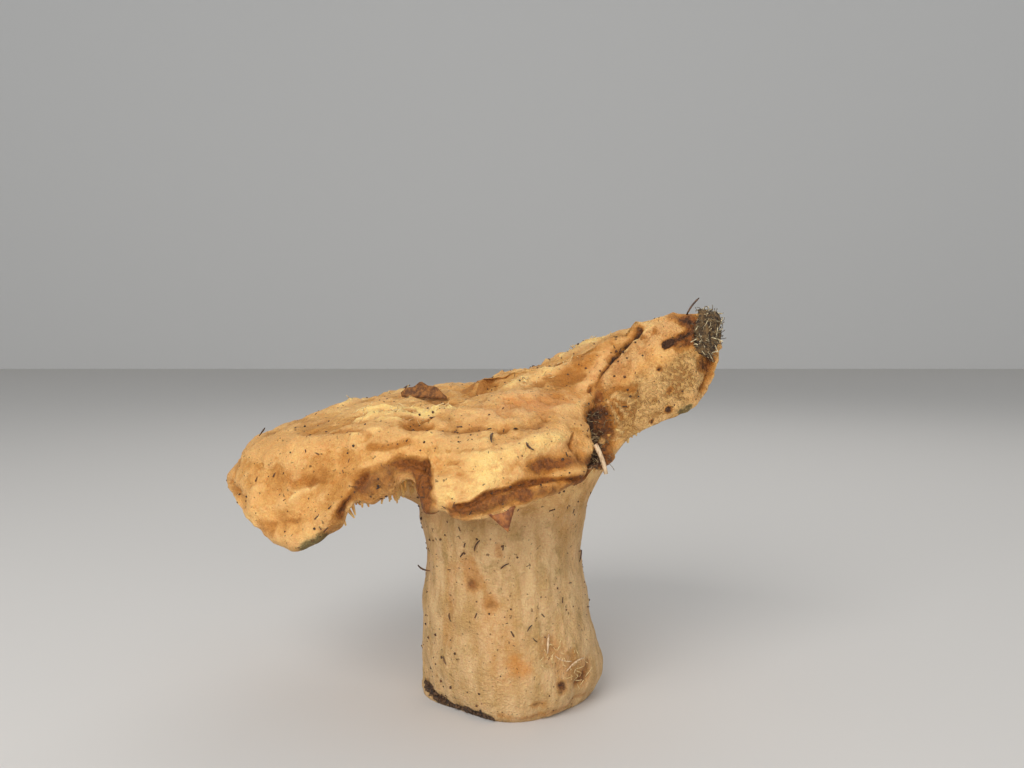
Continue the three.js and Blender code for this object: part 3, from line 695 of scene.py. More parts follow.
# ---- geometry nodes: pieces strewn over a sheet of skin ------------------------------------------
class Strewing:
    """A geometry-node tree that strews one small shape over a mesh and makes it real."""

    def __init__(self, name, sizes):
        self.tree = bpy.data.node_groups.new(name, "GeometryNodeTree")
        face = self.tree.interface
        face.new_socket("Geometry", in_out="INPUT", socket_type="NodeSocketGeometry")
        self.identifiers = {}
        for label, value in sizes.items():
            kind = "NodeSocketInt" if isinstance(value, int) else "NodeSocketFloat"
            socket = face.new_socket(label, in_out="INPUT", socket_type=kind)
            self.identifiers[label] = socket.identifier
        face.new_socket("Geometry", in_out="OUTPUT", socket_type="NodeSocketGeometry")
        self.inputs = self.tree.nodes.new("NodeGroupInput").outputs

    def node(self, kind, settings=None, inputs=None):
        node = self.tree.nodes.new(kind)
        for key, value in (settings or {}).items():
            setattr(node, key, value)
        for key, value in (inputs or {}).items():
            if isinstance(value, bpy.types.NodeSocket):
                self.tree.links.new(value, node.inputs[key])
            else:
                node.inputs[key].default_value = value
        return node

    def maths(self, operation, a, b):
        return self.node("ShaderNodeMath", {"operation": operation}, {0: a, 1: b}).outputs[0]

    def thorn(self):
        """A slim cone with a blunt tip, its foot at the origin."""
        cone = self.node("GeometryNodeMeshCone", {"fill_type": "NGON"},
                         {"Vertices": 6, "Side Segments": 2, "Radius Top": 0.16,
                          "Radius Bottom": 0.5, "Depth": 1.0})
        return cone.outputs["Mesh"]

    def crumb(self):
        """A lumpy grain."""
        ball = self.node("GeometryNodeMeshIcoSphere", None, {"Radius": 0.5, "Subdivisions": 2})
        lumps = self.node("ShaderNodeTexNoise", {"noise_dimensions": "3D"},
                          {"Scale": 2.3, "Detail": 2.0})
        push = self.node("ShaderNodeVectorMath", {"operation": "SUBTRACT"},
                         {0: lumps.outputs["Color"], 1: (0.5, 0.5, 0.5)})
        offset = self.node("ShaderNodeVectorMath", {"operation": "SCALE"},
                           {0: push.outputs[0], "Scale": 0.8})
        moved = self.node("GeometryNodeSetPosition", None,
                          {"Geometry": ball.outputs["Mesh"], "Offset": offset.outputs[0]})
        return moved.outputs[0]

    def thread(self, thickness, bend, standing):
        """A bent rod of unit length, standing up or lying along X."""
        tip = (0.15, 0, 1) if standing else (0.5, 0, 0)
        foot = (0, 0, 0) if standing else (-0.5, 0, 0)
        middle = (-bend, bend, 0.5) if standing else (0, bend, 0.25 * bend)
        arc = self.node("GeometryNodeCurveQuadraticBezier", None,
                        {"Resolution": 5, "Start": foot, "Middle": middle, "End": tip})
        ring = self.node("GeometryNodeCurvePrimitiveCircle", None,
                         {"Resolution": 5, "Radius": thickness})
        tube = self.node("GeometryNodeCurveToMesh", None,
                         {"Curve": arc.outputs[0], "Profile Curve": ring.outputs[0], "Fill Caps": True})
        return tube.outputs[0]

    def finish(self, shape, material, flat_width, tilt):
        """Strews the shape: width and length come from the inputs and the sheet's strength."""
        strength = self.node("GeometryNodeInputNamedAttribute", {"data_type": "FLOAT"},
                             {"Name": "strength"})
        points = self.node("GeometryNodeDistributePointsOnFaces", {"distribute_method": "POISSON"},
                           {"Mesh": self.inputs["Geometry"], "Distance Min": self.inputs["Spacing"],
                            "Density Max": self.inputs["Density"], "Density Factor": strength.outputs[0],
                            "Seed": self.inputs["Seed"]})
        lean = self.node("ShaderNodeVectorMath", {"operation": "SCALE"},
                         {0: (0, 0, -1), "Scale": self.inputs["Droop"]})
        direction = self.node("ShaderNodeVectorMath", {"operation": "ADD"},
                              {0: points.outputs["Normal"], 1: lean.outputs[0]})
        upright = self.node("FunctionNodeAlignRotationToVector", {"axis": "Z"},
                            {"Vector": direction.outputs[0]})
        spin = self.node("FunctionNodeRandomValue", {"data_type": "FLOAT_VECTOR"},
                         {0: (-tilt, -tilt, 0), 1: (tilt, tilt, 2 * math.pi),
                          "Seed": self.inputs["Seed"]})
        turned = self.node("FunctionNodeRotateRotation", {"rotation_space": "LOCAL"},
                           {"Rotation": upright.outputs[0], "Rotate By": spin.outputs[0]})
        size = self.node("FunctionNodeRandomValue", {"data_type": "FLOAT"},
                         {2: self.inputs["Smallest"], 3: self.inputs["Largest"],
                          "Seed": self.inputs["Seed"]})
        grown = self.maths("MULTIPLY", size.outputs[1], self.maths("POWER", strength.outputs[0], 0.5))
        width = self.inputs["Width"] if flat_width else grown
        scale = self.node("ShaderNodeCombineXYZ", None, {"X": width, "Y": width, "Z": grown})
        placed = self.node("GeometryNodeInstanceOnPoints", None,
                           {"Points": points.outputs["Points"], "Instance": shape,
                            "Rotation": turned.outputs[0], "Scale": scale.outputs[0]})
        real = self.node("GeometryNodeRealizeInstances", None, {"Geometry": placed.outputs[0]})
        finish = self.node("GeometryNodeSetMaterial", None,
                           {"Geometry": real.outputs[0], "Material": material})
        out = self.tree.nodes.new("NodeGroupOutput")
        self.tree.links.new(finish.outputs[0], out.inputs[0])


def strew(name, sheet, build, sizes, material, flat_width=False, tilt=0.3):
    """Runs a strewing over a sheet mesh and returns the result as a plain mesh object."""
    strewing = Strewing(name + "_strewing", sizes)
    strewing.finish(build(strewing), material, flat_width, tilt)
    holder = bpy.data.objects.new(name + "_sheet", sheet)
    bpy.context.scene.collection.objects.link(holder)
    modifier = holder.modifiers.new("strewing", "NODES")
    modifier.node_group = strewing.tree
    for label, value in sizes.items():
        modifier[strewing.identifiers[label]] = value
    graph = bpy.context.evaluated_depsgraph_get()
    graph.update()
    mesh = bpy.data.meshes.new_from_object(holder.evaluated_get(graph))
    bpy.data.objects.remove(holder)
    mesh.name = name
    if not mesh.polygons:
        raise RuntimeError(f"{name}: nothing was strewn")
    return mesh


# ---- strands and flakes, laid one by one ---------------------------------------------------------
def tube(path, radii, sides=6):
    """Vertices and faces of a closed tube along a path of points, all in millimetres."""
    path = np.array(path, float)
    along = np.gradient(path, axis=0)
    along /= np.linalg.norm(along, axis=1)[:, None]
    side = np.cross(along, (0.31, 0.17, 0.93))
    side /= np.linalg.norm(side, axis=1)[:, None]
    other = np.cross(along, side)
    angles = np.arange(sides) * 2 * math.pi / sides
    rings = [p + r * (np.cos(angles)[:, None] * s + np.sin(angles)[:, None] * o)
             for p, r, s, o in zip(path, radii, side, other)]
    count = len(path)
    points = np.concatenate([*rings, [path[0], path[-1]]])
    faces = []
    for i in range(count - 1):
        for j in range(sides):
            k = (j + 1) % sides
            faces.append((i * sides + j, i * sides + k, (i + 1) * sides + k, (i + 1) * sides + j))
    for j in range(sides):
        k = (j + 1) % sides
        faces.append((count * sides, k, j))
        faces.append((count * sides + 1, (count - 1) * sides + j, (count - 1) * sides + k))
    return points, faces


def arc(start, end, bow, steps=7):
    """Points from start to end that bow out by a vector at the middle."""
    shares = np.linspace(0, 1, steps)[:, None]
    return start * (1 - shares) + end * shares + bow * (4 * shares * (1 - shares))


def laid_strand(skin, azimuth, level, heading, length, thick, bow=0.1, lift=(0.1, 0.1), taper=0.5):
    """A tube laid on the skin: heading is degrees from the level direction, lift its ends' height."""
    point, out, around = skin.spot(azimuth, level)
    up = np.cross(out, around)
    angle = math.radians(heading)
    direction = around * math.cos(angle) + up * math.sin(angle)
    start = point - direction * length / 2 + out * (thick + lift[0])
    end = point + direction * length / 2 + out * (thick + lift[1])
    path = arc(start, end, (out * 0.6 + np.cross(out, direction)) * bow * length)
    radii = thick * (taper + (1 - taper) * np.sin(np.linspace(0.15, 2.8, len(path))))
    return tube(path, radii)


def joined(name, parts):
    """One mesh in metres from lists of points and faces in millimetres."""
    points, faces, base = [], [], 0
    for part_points, part_faces in parts:
        points.append(part_points)
        faces += [tuple(int(i) + base for i in face) for face in part_faces]
        base += len(part_points)
    mesh = bpy.data.meshes.new(name)
    mesh.from_pydata((np.concatenate(points) * MM).tolist(), [], faces)
    mesh.shade_smooth()
    return mesh


def flake(skin, outline, lift, thick, curl, cells=(14, 8)):
    """A thin closed flake over a window of the skin; curl raises its far edge."""
    (az0, az1), (low, high) = outline
    across, up = cells
    sheets = []
    for top in (0, 1):
        for i in range(up + 1):
            for j in range(across + 1):
                share_j, share_i = j / across, i / up
                ragged = 0.12 * noise.noise(Vector((share_j * 6, i * 1.3, 3.1)))
                azimuth = az0 + (az1 - az0) * (share_j + ragged * (share_j in (0.0, 1.0)))
                middle = (low + high) / 2
                taper = math.sqrt(max(1 - (2 * share_j - 1) ** 2, 0.02)) * (1 + ragged)
                level = middle + (low + (high - low) * share_i - middle) * taper
                point, out, _ = skin.spot(azimuth, level)
                height = lift + curl * share_i**2 * math.sin(math.pi * share_j) + thick * top
                sheets.append(point + out * height)
    return np.array(sheets), slab_faces(across, up)


def slab_faces(across, up):
    """Faces of two grids of points joined by walls into one closed slab."""
    def at(top, i, j):
        return top * (across + 1) * (up + 1) + i * (across + 1) + j
    faces = []
    for i in range(up):
        for j in range(across):
            faces.append((at(1, i, j), at(1, i, j + 1), at(1, i + 1, j + 1), at(1, i + 1, j)))
            faces.append((at(0, i, j), at(0, i + 1, j), at(0, i + 1, j + 1), at(0, i, j + 1)))
        faces.append((at(0, i, 0), at(1, i, 0), at(1, i + 1, 0), at(0, i + 1, 0)))
        faces.append((at(1, i, across), at(0, i, across), at(0, i + 1, across), at(1, i + 1, across)))
    for j in range(across):
        faces.append((at(1, 0, j), at(0, 0, j), at(0, 0, j + 1), at(1, 0, j + 1)))
        faces.append((at(0, up, j), at(1, up, j), at(1, up, j + 1), at(0, up, j + 1)))
    return faces


def settle(name, mesh, material, slot, *nodes):
    """Puts a finished piece on the body and hides the CAD nodes it stands for."""
    if material:
        mesh.materials.clear()
        mesh.materials.append(material)
    piece = bpy.data.objects.new(name, mesh)
    bpy.context.scene.collection.objects.link(piece)
    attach(piece, "root")
    if nodes:
        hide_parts(*nodes)
    return piece


# ---- what the sidebar offers ---------------------------------------------------------------------
def colour_property(label, code, note):
    return bpy.props.FloatVectorProperty(name=label, description=note, default=linear(code), size=4,
                                         min=0, max=1, subtype="COLOR")


def length_property(label, default, note):
    return bpy.props.FloatProperty(name=label, description=note, default=default * MM, min=0,
                                   unit="LENGTH", subtype="DISTANCE", precision=5)


class MushroomShape(bpy.types.PropertyGroup):
    """How finely the mushroom is modelled."""
    columns: bpy.props.IntProperty(name="Columns", default=560, min=64, max=600,
                                   description="Points round the mushroom")
    cells: bpy.props.IntVectorProperty(name="Rows", default=(10, 40, 26, 48, 40), size=5, min=3,
                                       description="Rows of foot, stem, underside, edge and crest")
    tolerance: length_property("Tolerance", 3.0, "Largest difference allowed from the CAD body's box")


class MushroomLook(bpy.types.PropertyGroup):
    """Colours of the flesh and its stains."""
    cap_tan: colour_property("Cap tan", "#c98e42", "Felted skin of the cap")
    cap_buff: colour_property("Cap buff", "#e6b566", "Paler areas of the cap")
    cap_orange: colour_property("Cap orange", "#cc7f2c", "Warm patches of the cap")
    crest_beige: colour_property("Crest beige", "#d2a762", "Greyer skin on the crest")
    # Also the painted highlight on ridges, on the lip's nose and along the crack's edge.
    highlight: colour_property("Bare cream", "#f9d88e", "Worn wrinkles and pale lines")
    stem_cream: colour_property("Stem cream", "#dfc18a", "Stem")
    stem_tan: colour_property("Stem tan", "#caa468", "Streaks on the stem")
    stem_brown: colour_property("Stem brown", "#b08a4c", "Handled areas of the stem")
    tooth_cream: colour_property("Tooth cream", "#ecc986", "Teeth and underside")
    tooth_tan: colour_property("Tooth tan", "#c99448", "Older teeth")
    # Bruise rim and bruise red also paint the shade in the skin's hollows, and bruise red the grainy
    # shade on the wing.
    bruise_tan_and_shade: colour_property("Bruise rim", "#c07a2a", "Edge of a bruise")
    bruise_red_and_shade: colour_property("Bruise red", "#a05a1a", "Bruised flesh")
    bruise_dark: colour_property("Bruise dark", "#6e3a12", "Old bruises")
    rot_brown: colour_property("Rot brown", "#4a2d17", "Rotten flesh and earth")
    rot_black: colour_property("Rot black", "#20140c", "Cracks")
    green_rot: colour_property("Green rot", "#4b4a26", "Algae on the edges")
    # Olive tan partly paints the shade on the wing's face.
    olive_tan_and_shade: colour_property("Olive tan", "#b28d55", "Granular skin of the raised wing")
    ochre: colour_property("Ochre", "#cc8a2e", "Ochre flesh")
    peach: colour_property("Peach", "#e0a05c", "Smooth peach skin")
    speck: colour_property("Speck", "#6e4522", "Tiny dots of dirt")
    shade: colour_property("Shade", "#5c5c5c", "Dark side of the pores")
    light: colour_property("Light", "#a8a8a8", "Light side of the pores")


class MushroomLitter(bpy.types.PropertyGroup):
    """Teeth and litter."""
    seed: bpy.props.IntProperty(name="Seed", description="Changes where the pieces fall", default=7,
                                min=0)
    tooth_spacing: length_property("Tooth spacing", 1.15, "Least distance between teeth")
    tooth_length: length_property("Tooth length", 3.2, "Longest tooth")
    grain: length_property("Grain", 1.1, "Largest grain of soil")


class Shared:
    """The skin, shaped once and used by every operator."""
    skin = None


def shared_skin(context):
    if Shared.skin is None:
        shape = context.scene.mushroom_shape
        Shared.skin = Skin(shape.columns, tuple(shape.cells))
    return Shared.skin


class PieceOperator:
    """Common part of the operators: what they build from."""
    bl_options = {"REGISTER", "UNDO"}

    def given(self, context):
        scene = context.scene
        return shared_skin(context), scene.mushroom_look, scene.mushroom_litter


class MUSHROOM_OT_flesh(PieceOperator, bpy.types.Operator):
    """Builds the mushroom's flesh, with its creases, cracks and stains"""
    bl_idname = "mushroom.flesh"
    bl_label = "Flesh"

    def execute(self, context):
        skin, look, _ = self.given(context)
        mesh = skin.closed_mesh("flesh")
        corners = skin.grid.reshape(-1, 3) * MM
        tolerance = context.scene.mushroom_shape.tolerance
        gap = max(np.abs(corners.min(0) - BODY_BOX[0]).max(),
                  np.abs(corners.max(0) - BODY_BOX[1]).max())
        if gap > tolerance:
            raise RuntimeError(f"flesh: {gap / MM:.1f} mm off the CAD body's box")
        settle("flesh", mesh, flesh_material(look), "mushroom_flesh", "fruiting_body")
        return {"FINISHED"}


class MUSHROOM_OT_teeth(PieceOperator, bpy.types.Operator):
    """Hangs the spine-like teeth under the cap"""
    bl_idname = "mushroom.teeth"
    bl_label = "Teeth"

    def execute(self, context):
        skin, look, litter = self.given(context)
        level = skin.levels[:, None]
        zone = smooth_step(level, NECK + 0.25, NECK + 0.8) * (1 - smooth_step(level, 8.9, 9.8))
        facing = smooth_step(-skin.outward[..., 2], -0.2, 0.15)
        margin = skin.grid[np.searchsorted(skin.levels, MARGIN)][None, :, 2]
        room = np.clip((skin.grid[..., 2] - margin + 0.9 * facing) / (litter.tooth_length / MM), 0, 1)
        # Teeth stay clear of the rim in front, and are short on the wing's near side.
        free = np.interp(azimuth_of(skin.turns), (0, 30, 170, 186, 304, 312, 350, 360),
                         (0.4, 1, 1, 0, 0, 0.25, 0.25, 0.4))
        room = np.where((free < 0.1) & (level > 9.2), 0, np.maximum(room, free))
        sheet = skin.patch_mesh("teeth", NECK + 0.2, 9.75, zone * facing * room)
        sizes = {"Spacing": litter.tooth_spacing, "Density": 4e6, "Seed": litter.seed, "Droop": 1.3,
                 "Smallest": 0.5 * litter.tooth_length, "Largest": litter.tooth_length,
                 "Width": 0.85 * MM}
        mesh = strew("teeth", sheet, Strewing.thorn, sizes, tooth_material(look), True, 0.22)
        settle("teeth", mesh, None, "mushroom_flesh")
        return {"FINISHED"}


class MUSHROOM_OT_soil(PieceOperator, bpy.types.Operator):
    """Crusts the foot with soil and scatters crumbs in the rotten hollow"""
    bl_idname = "mushroom.soil"
    bl_label = "Soil"

    def execute(self, context):
        skin, _, litter = self.given(context)
        earth = grain_material("soil_crumbs", linear("#2a1c12"), linear("#6b4c30"), 0.5, 0.85)
        strength = np.clip(skin.stains["crumb"], 0, 1)
        low = np.where(skin.levels[:, None] < 3, strength, 0)
        sheet = skin.patch_mesh("foot", 0.25, 3, low)
        sizes = {"Spacing": 0.45 * litter.grain, "Density": 4e6, "Seed": litter.seed, "Droop": 0.0,
                 "Smallest": 0.25 * litter.grain, "Largest": litter.grain, "Width": 0.0}
        mesh = strew("soil_grains", sheet, Strewing.crumb, sizes, earth, False, 3.0)
        settle("soil_grains", mesh, None, "soil", "soil_crust")
        high = np.where(skin.levels[:, None] > MARGIN, strength, 0)
        sheet = skin.patch_mesh("hollow", MARGIN, SHOULDER, high)
        sizes.update({"Spacing": 0.5 * MM, "Smallest": 0.15 * MM, "Largest": 0.6 * MM})
        mesh = strew("hollow_crumbs", sheet, Strewing.crumb, sizes, earth, False, 3.0)
        settle("hollow_crumbs", mesh, None, "soil")
        return {"FINISHED"}


class MUSHROOM_OT_tuft(PieceOperator, bpy.types.Operator):
    """Lays the clump of moss and straw chips on the tip of the raised wing"""
    bl_idname = "mushroom.tuft"
    bl_label = "Moss clump"

    def execute(self, context):
        skin, _, litter = self.given(context)
        felt = grain_material("moss_felt", linear("#2e1f12"), linear("#7c5f3a"), 0.8, 0.9, 0.5)
        base = flake(skin, ((346, 361.5), (11.55, 12.95)), -0.6, 1.3, 0.3, (22, 14))
        mesh = joined("moss_clump", [base])
        for vertex in mesh.vertices:
            place = vertex.co / (1.4 * MM)
            shifts = ((9, 0, 0), (0, 17, 0), (0, 0, 31))
            rough = [noise.noise(place + Vector(shift)) for shift in shifts]
            vertex.co += Vector(rough) * 0.45 * MM
        settle("moss_clump", mesh, felt, "moss_litter", "litter_tuft")
        sheet = mesh.copy()
        height = noise_strength(sheet, 1.6)
        add_attribute(sheet, "strength", height)
        strands = grain_material("moss_strands", linear("#33271a"), linear("#8f7d5c"), 0.6, 0.8)
        sizes = {"Spacing": 0.4 * MM, "Density": 4e6, "Seed": litter.seed + 3, "Droop": 0.1,
                 "Smallest": 0.7 * MM, "Largest": 2.0 * MM, "Width": 1.3 * MM}
        hair = strew("moss_strands", sheet, lambda s: s.thread(0.045, 0.4, True), sizes, strands,
                     True, 1.1)
        settle("moss_strands", hair, None, "moss_litter")
        chips = grain_material("straw_chips", linear("#9c8460"), linear("#e2d0a6"), 0.5, 0.7)
        sizes.update({"Spacing": 0.55 * MM, "Density": 1.4e6, "Seed": litter.seed + 4,
                      "Smallest": 1.2 * MM, "Largest": 3.4 * MM, "Width": 2.0 * MM})
        chip = strew("straw_chips", sheet, lambda s: s.thread(0.042, 0.08, False), sizes, chips,
                     False, 0.9)
        settle("straw_chips", chip, None, "moss_litter")
        return {"FINISHED"}


def noise_strength(mesh, grain):
    """Patchy strengths of 0 to 1 for a mesh in metres."""
    return [min(max(0.6 + 1.2 * noise.noise(v.co / (grain * MM)), 0.0), 1.0) for v in mesh.vertices]


class MUSHROOM_OT_bark(PieceOperator, bpy.types.Operator):
    """Lays the flake of bark on the cap and hangs the torn brown strip from the lip"""
    bl_idname = "mushroom.bark"
    bl_label = "Bark and torn strip"

    def execute(self, context):
        skin, _, _ = self.given(context)
        bark = grain_material("bark_scale", linear("#54300f"), linear("#96602a"), 0.7, 0.8, 0.3)
        lift = np.array((0, 0, 0.5))
        ends = [skin.spot(*place)[0] + lift for place in ((180, 14.7), (211, 14.9))]
        scale = leaf(*ends, np.array((-0.3, 1.4, 2.7)), 0.3, 0.5)
        settle("bark_scale", joined("bark_scale", [scale]), bark, "bark", "bark_flake")
        strip = grain_material("torn_strip", linear("#6e3a16"), linear("#a5642a"), 0.9, 0.6, 0.3)
        left, out, _ = skin.spot(264.5, 10.35)
        right, _, _ = skin.spot(271, 10.4)
        tip = (left + right) / 2 + out * 0.4 + (1.0, 0, -3.4)
        settle("torn_strip", joined("torn_strip", [wedge(left, right, tip, 0.7)]), strip,
               "mushroom_flesh")
        return {"FINISHED"}


def leaf(start, end, rise, thick, bow, across=16, up=5):
    """A closed flake that stands on the line start-end and bows over towards its middle."""
    facing = np.cross(end - start, rise)
    facing /= np.linalg.norm(facing)
    rows = []
    for top in (0, 1):
        for i in range(up + 1):
            for j in range(across + 1):
                share = j / across
                arch = math.sin(math.pi * min(max(share, 0.03), 0.97))**0.6
                wave = 0.25 * math.sin(9 * share + 2 * i / up)
                height = (i / up) * arch * (0.88 + 0.12 * math.sin(17 * share))
                base = start * (1 - share) + end * share
                lean = wave * i / up + bow * arch * (i / up)**2 + thick * top
                rows.append(base + rise * height + facing * lean)
    return np.array(rows), slab_faces(across, up)


def wedge(left, right, tip, thick, across=6, down=12):
    """A closed strip that hangs from the line left-right and narrows to its tip."""
    facing = np.cross(right - left, tip - left)
    facing /= np.linalg.norm(facing)
    rows = []
    for top in (0, 1):
        for i in range(down + 1):
            share = i / down
            a = left * (1 - share) + tip * share
            b = right * (1 - share) + tip * share
            for j in range(across + 1):
                point = a + (b - a) * (0.06 + 0.88 * j / across)
                curl = 0.5 * math.sin(3 * share + 0.8 * j) * (1 - share)
                rows.append(point + facing * (curl + thick * (top - 0.5) * (1 - 0.7 * share)))
    return np.array(rows), slab_faces(across, down)


class MUSHROOM_OT_straws(PieceOperator, bpy.types.Operator):
    """Lays the straws across the rotten hollow and on the stem"""
    bl_idname = "mushroom.straws"
    bl_label = "Straws"

    def execute(self, context):
        skin, _, _ = self.given(context)
        straw = grain_material("straw_skin", linear("#b08a63"), linear("#dcc09a"), 0.4, 0.6, 0.1,
                               (1, 1, 0.3))
        start = skin.spot(295.2, 11.7)
        end = skin.spot(299.5, 10.25)
        path = arc(start[0] + start[1] * 0.7, end[0] + end[1] * 1.6, start[1] * 0.25)
        stub = tube(path, [0.42, 0.44, 0.42, 0.43, 0.41, 0.4, 0.36], 8)
        thin = [laid_strand(skin, 297.8, 3.4, 75, 3.2, 0.22),
                laid_strand(skin, 316, 2.85, 20, 4.5, 0.16, 0.12),
                laid_strand(skin, 307, 3.1, -25, 3.4, 0.12, -0.1)]
        settle("straw_bits", joined("straw_bits", [stub, *thin]), straw, "straw", "straw_stub",
               "straw_stem")
        return {"FINISHED"}


class MUSHROOM_OT_needles(PieceOperator, bpy.types.Operator):
    """Lays the conifer needle bits and dark slivers on cap and stem"""
    bl_idname = "mushroom.needles"
    bl_label = "Needles"
    # Azimuth, level, heading in degrees, length and half thickness, and how high the far end stands.
    places = (
        (264, 13.2, 75, 3.2, 0.2, 0.1),
        (274.5, 12.6, 100, 2.4, 0.2, 0.1),
        (178.7, 13.1, 35, 2.4, 0.16, 1.4),
        (198.3, 4.87, 170, 2.6, 0.18, 1.6),
        (254, 5.7, 60, 2.4, 0.14, 0.1),
        (272, 5.2, 35, 1.8, 0.13, 0.1),
        (231, 3.95, 100, 1.6, 0.12, 0.1),
        (225, 3.0, 120, 1.5, 0.13, 0.1),
        (348, 5.1, 80, 2.2, 0.14, 0.3),
        (286, 3.8, 50, 1.4, 0.12, 0.1),
        (289, 3.6, 140, 1.2, 0.1, 0.1),
        (272.5, 13.35, 20, 1.0, 0.16, 0.1),
        (249, 14.2, 60, 1.4, 0.12, 0.1),
        (120, 13.4, 30, 5.0, 0.2, 0.4),
        (64, 13.7, 110, 4.0, 0.18, 0.2),
        (90, 4.2, 70, 2.4, 0.14, 0.1),
        (140, 5.6, 120, 2.0, 0.13, 0.1),
    )

    def execute(self, context):
        skin, _, _ = self.given(context)
        dark = grain_material("needle_skin", linear("#24150b"), linear("#6a4422"), 0.6, 0.5, 0.05)
        strands = [laid_strand(skin, azimuth, level, heading, length, thick, 0.1, (0.05, lift), 0.35)
                   for azimuth, level, heading, length, thick, lift in self.places]
        root = skin.spot(345.5, 13.0)[0]
        strands.append(tube(arc(root, root + (2.2, -0.4, 3.1), np.array((-0.2, 0, 0.1))),
                            [0.17] * 6 + [0.09]))
        settle("needle_bits", joined("needle_bits", strands), dark, "needle", "needle_upper",
               "needle_lip", "needle_face", "needle_lobe", "needle_stem")
        return {"FINISHED"}


class MUSHROOM_OT_fibres(PieceOperator, bpy.types.Operator):
    """Frays the hollow, the cracks and the bruised edges into short fibres"""
    bl_idname = "mushroom.fibres"
    bl_label = "Frayed fibres"

    def execute(self, context):
        skin, _, litter = self.given(context)
        dull = grain_material("frayed_fibres", linear("#4b3722"), linear("#a58a60"), 0.5, 0.8, 0.05)
        torn = np.clip(skin.stains["fray"], 0, 1)
        sheet = skin.patch_mesh("frayed", MARGIN, SHOULDER + 0.6, torn)
        sizes = {"Spacing": 0.45 * MM, "Density": 2.0e6, "Seed": litter.seed + 9, "Droop": 0.1,
                 "Smallest": 0.8 * MM, "Largest": 2.2 * MM, "Width": 0.8 * MM}
        mesh = strew("frayed_fibres", sheet, lambda s: s.thread(0.06, 0.5, True), sizes, dull, True,
                     1.1)
        settle("frayed_fibres", mesh, None, "mushroom_flesh")
        pale = grain_material("pale_fibres", linear("#bf9a5e"), linear("#ecd39c"), 0.5, 0.7, 0.05)
        sheet = skin.patch_mesh("fringe", 1.0, TOP, np.clip(skin.stains["fringe"], 0, 1))
        sizes.update({"Spacing": 0.4 * MM, "Density": 1.1e6, "Seed": litter.seed + 10,
                      "Smallest": 0.8 * MM, "Largest": 3.0 * MM, "Width": 1.0 * MM})
        mesh = strew("pale_fibres", sheet, lambda s: s.thread(0.035, 0.12, False), sizes, pale,
                     False, 0.8)
        settle("pale_fibres", mesh, None, "straw")
        return {"FINISHED"}


class MUSHROOM_OT_flecks(PieceOperator, bpy.types.Operator):
    """Sprinkles dark flecks of needle and earth over cap and stem"""
    bl_idname = "mushroom.flecks"
    bl_label = "Dark flecks"

    def execute(self, context):
        skin, _, litter = self.given(context)
        dark = grain_material("fleck_skin", linear("#1f130a"), linear("#6d4526"), 0.5, 0.7, 0.05)
        level = skin.levels[:, None]
        points = skin.grid.reshape(-1, 3)
        drift = smooth_step(cloud(points, 14, 2), -0.3, 0.4).reshape(skin.grid.shape[:2])
        open_skin = 1 - np.exp(-((level - 8.6) / 1.0)**4)
        sheet = skin.patch_mesh("flecks", 1.0, TOP, (0.25 + 0.75 * drift) * open_skin)
        sizes = {"Spacing": 1.0 * MM, "Density": 3.5e4, "Seed": litter.seed + 20, "Droop": 0.0,
                 "Smallest": 0.3 * MM, "Largest": 1.3 * MM, "Width": 1.2 * MM}
        mesh = strew("dark_slivers", sheet, lambda s: s.thread(0.13, 0.06, False), sizes, dark,
                     False, 0.3)
        settle("dark_slivers", mesh, None, "needle")
        sizes.update({"Density": 1.1e5, "Seed": litter.seed + 21, "Smallest": 0.12 * MM,
                      "Largest": 0.6 * MM})
        mesh = strew("dark_crumbs", sheet, Strewing.crumb, sizes, dark, False, 3.0)
        settle("dark_crumbs", mesh, None, "soil")
        return {"FINISHED"}


class MUSHROOM_OT_stage(bpy.types.Operator):
    """Sets the camera, the soft studio light, the pale floor and the plain backdrop"""
    bl_idname = "mushroom.stage"
    bl_label = "Studio"

    def execute(self, context):
        scene = context.scene
        camera = bpy.data.objects.new("camera", bpy.data.cameras.new("camera"))
        camera.location = (0, -0.186, 0.071)
        camera.rotation_euler = (math.radians(90 - 3.8), 0, 0)
        camera.data.lens = 35.16
        camera.data.sensor_width = 36
        camera.data.clip_start = 0.005
        scene.collection.objects.link(camera)
        scene.camera = camera
        scene.view_settings.view_transform = "Standard"
        floor = plane("floor", 3.0, (0, 0, 0), (0, 0, 0), "#cfcac4")
        wall = plane("backdrop", 3.0, (0, 1.2, 0), (math.pi / 2, 0, 0), "#e6e3df")
        lamps = [softbox("key_light", (-0.2, -0.42, 0.36), 0.34, 2.3),
                 softbox("fill_light", (0.22, -0.55, 0.08), 0.4, 1.3),
                 softbox("rim_light", (0.1, 0.35, 0.45), 0.4, 0.6)]
        world = bpy.data.worlds.new("studio")
        world.use_nodes = True
        world.node_tree.nodes["Background"].inputs["Color"].default_value = (0.9, 0.95, 1.0, 1)
        world.node_tree.nodes["Background"].inputs["Strength"].default_value = 0.5
        scene.world = world
        return {"FINISHED"}


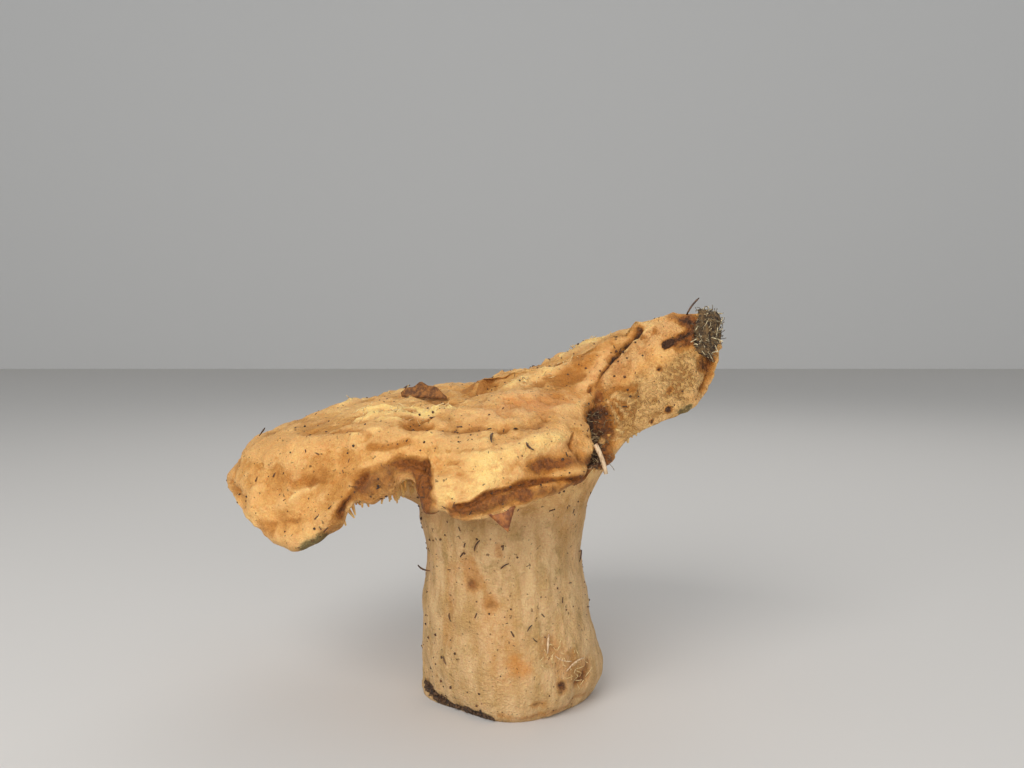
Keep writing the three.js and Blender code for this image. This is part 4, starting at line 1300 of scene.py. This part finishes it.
def plane(name, side, location, turn, code):
    """A matt square of the studio."""
    half = side / 2
    mesh = bpy.data.meshes.new(name)
    corners = [(-half, -half, 0), (half, -half, 0), (half, half, 0), (-half, half, 0)]
    mesh.from_pydata(corners, [], [(0, 1, 2, 3)])
    shader = Shader(name, Roughness=0.9, Base_Color=linear(code))
    mesh.materials.append(shader.material)
    square = bpy.data.objects.new(name, mesh)
    square.location = location
    square.rotation_euler = turn
    bpy.context.scene.collection.objects.link(square)
    return square


def softbox(name, location, size, power):
    """A square lamp that faces the middle of the mushroom."""
    lamp = bpy.data.lights.new(name, "AREA")
    lamp.size = size
    lamp.energy = power
    box = bpy.data.objects.new(name, lamp)
    box.location = location
    aim = Vector((0, 0, 0.04)) - Vector(location)
    box.rotation_euler = aim.to_track_quat("-Z", "Y").to_euler()
    bpy.context.scene.collection.objects.link(box)
    return box


PIECES = (MUSHROOM_OT_flesh, MUSHROOM_OT_teeth, MUSHROOM_OT_soil, MUSHROOM_OT_tuft, MUSHROOM_OT_bark,
          MUSHROOM_OT_straws, MUSHROOM_OT_needles, MUSHROOM_OT_fibres, MUSHROOM_OT_flecks,
          MUSHROOM_OT_stage)


class MUSHROOM_PT_builder(bpy.types.Panel):
    """Lists the steps that build the mushroom"""
    bl_idname = "MUSHROOM_PT_builder"
    bl_label = "Hedgehog Mushroom"
    bl_space_type = "VIEW_3D"
    bl_region_type = "UI"
    bl_category = "Mushroom"

    def draw(self, context):
        for piece in PIECES:
            self.layout.operator(piece.bl_idname)
        for group in (context.scene.mushroom_shape, context.scene.mushroom_litter,
                      context.scene.mushroom_look):
            box = self.layout.box()
            for name in group.__annotations__:
                box.prop(group, name)


GROUPS = {"mushroom_shape": MushroomShape, "mushroom_look": MushroomLook,
          "mushroom_litter": MushroomLitter}


def register():
    for name, group in GROUPS.items():
        bpy.utils.register_class(group)
        setattr(bpy.types.Scene, name, bpy.props.PointerProperty(type=group))
    for kind in (*PIECES, MUSHROOM_PT_builder):
        bpy.utils.register_class(kind)


def unregister():
    for kind in reversed((*PIECES, MUSHROOM_PT_builder)):
        bpy.utils.unregister_class(kind)
    for name, group in GROUPS.items():
        delattr(bpy.types.Scene, name)
        bpy.utils.unregister_class(group)


def main():
    register()
    for piece in PIECES:
        section, name = piece.bl_idname.split(".")
        getattr(getattr(bpy.ops, section), name)()


if __name__ == "__main__":
    main()
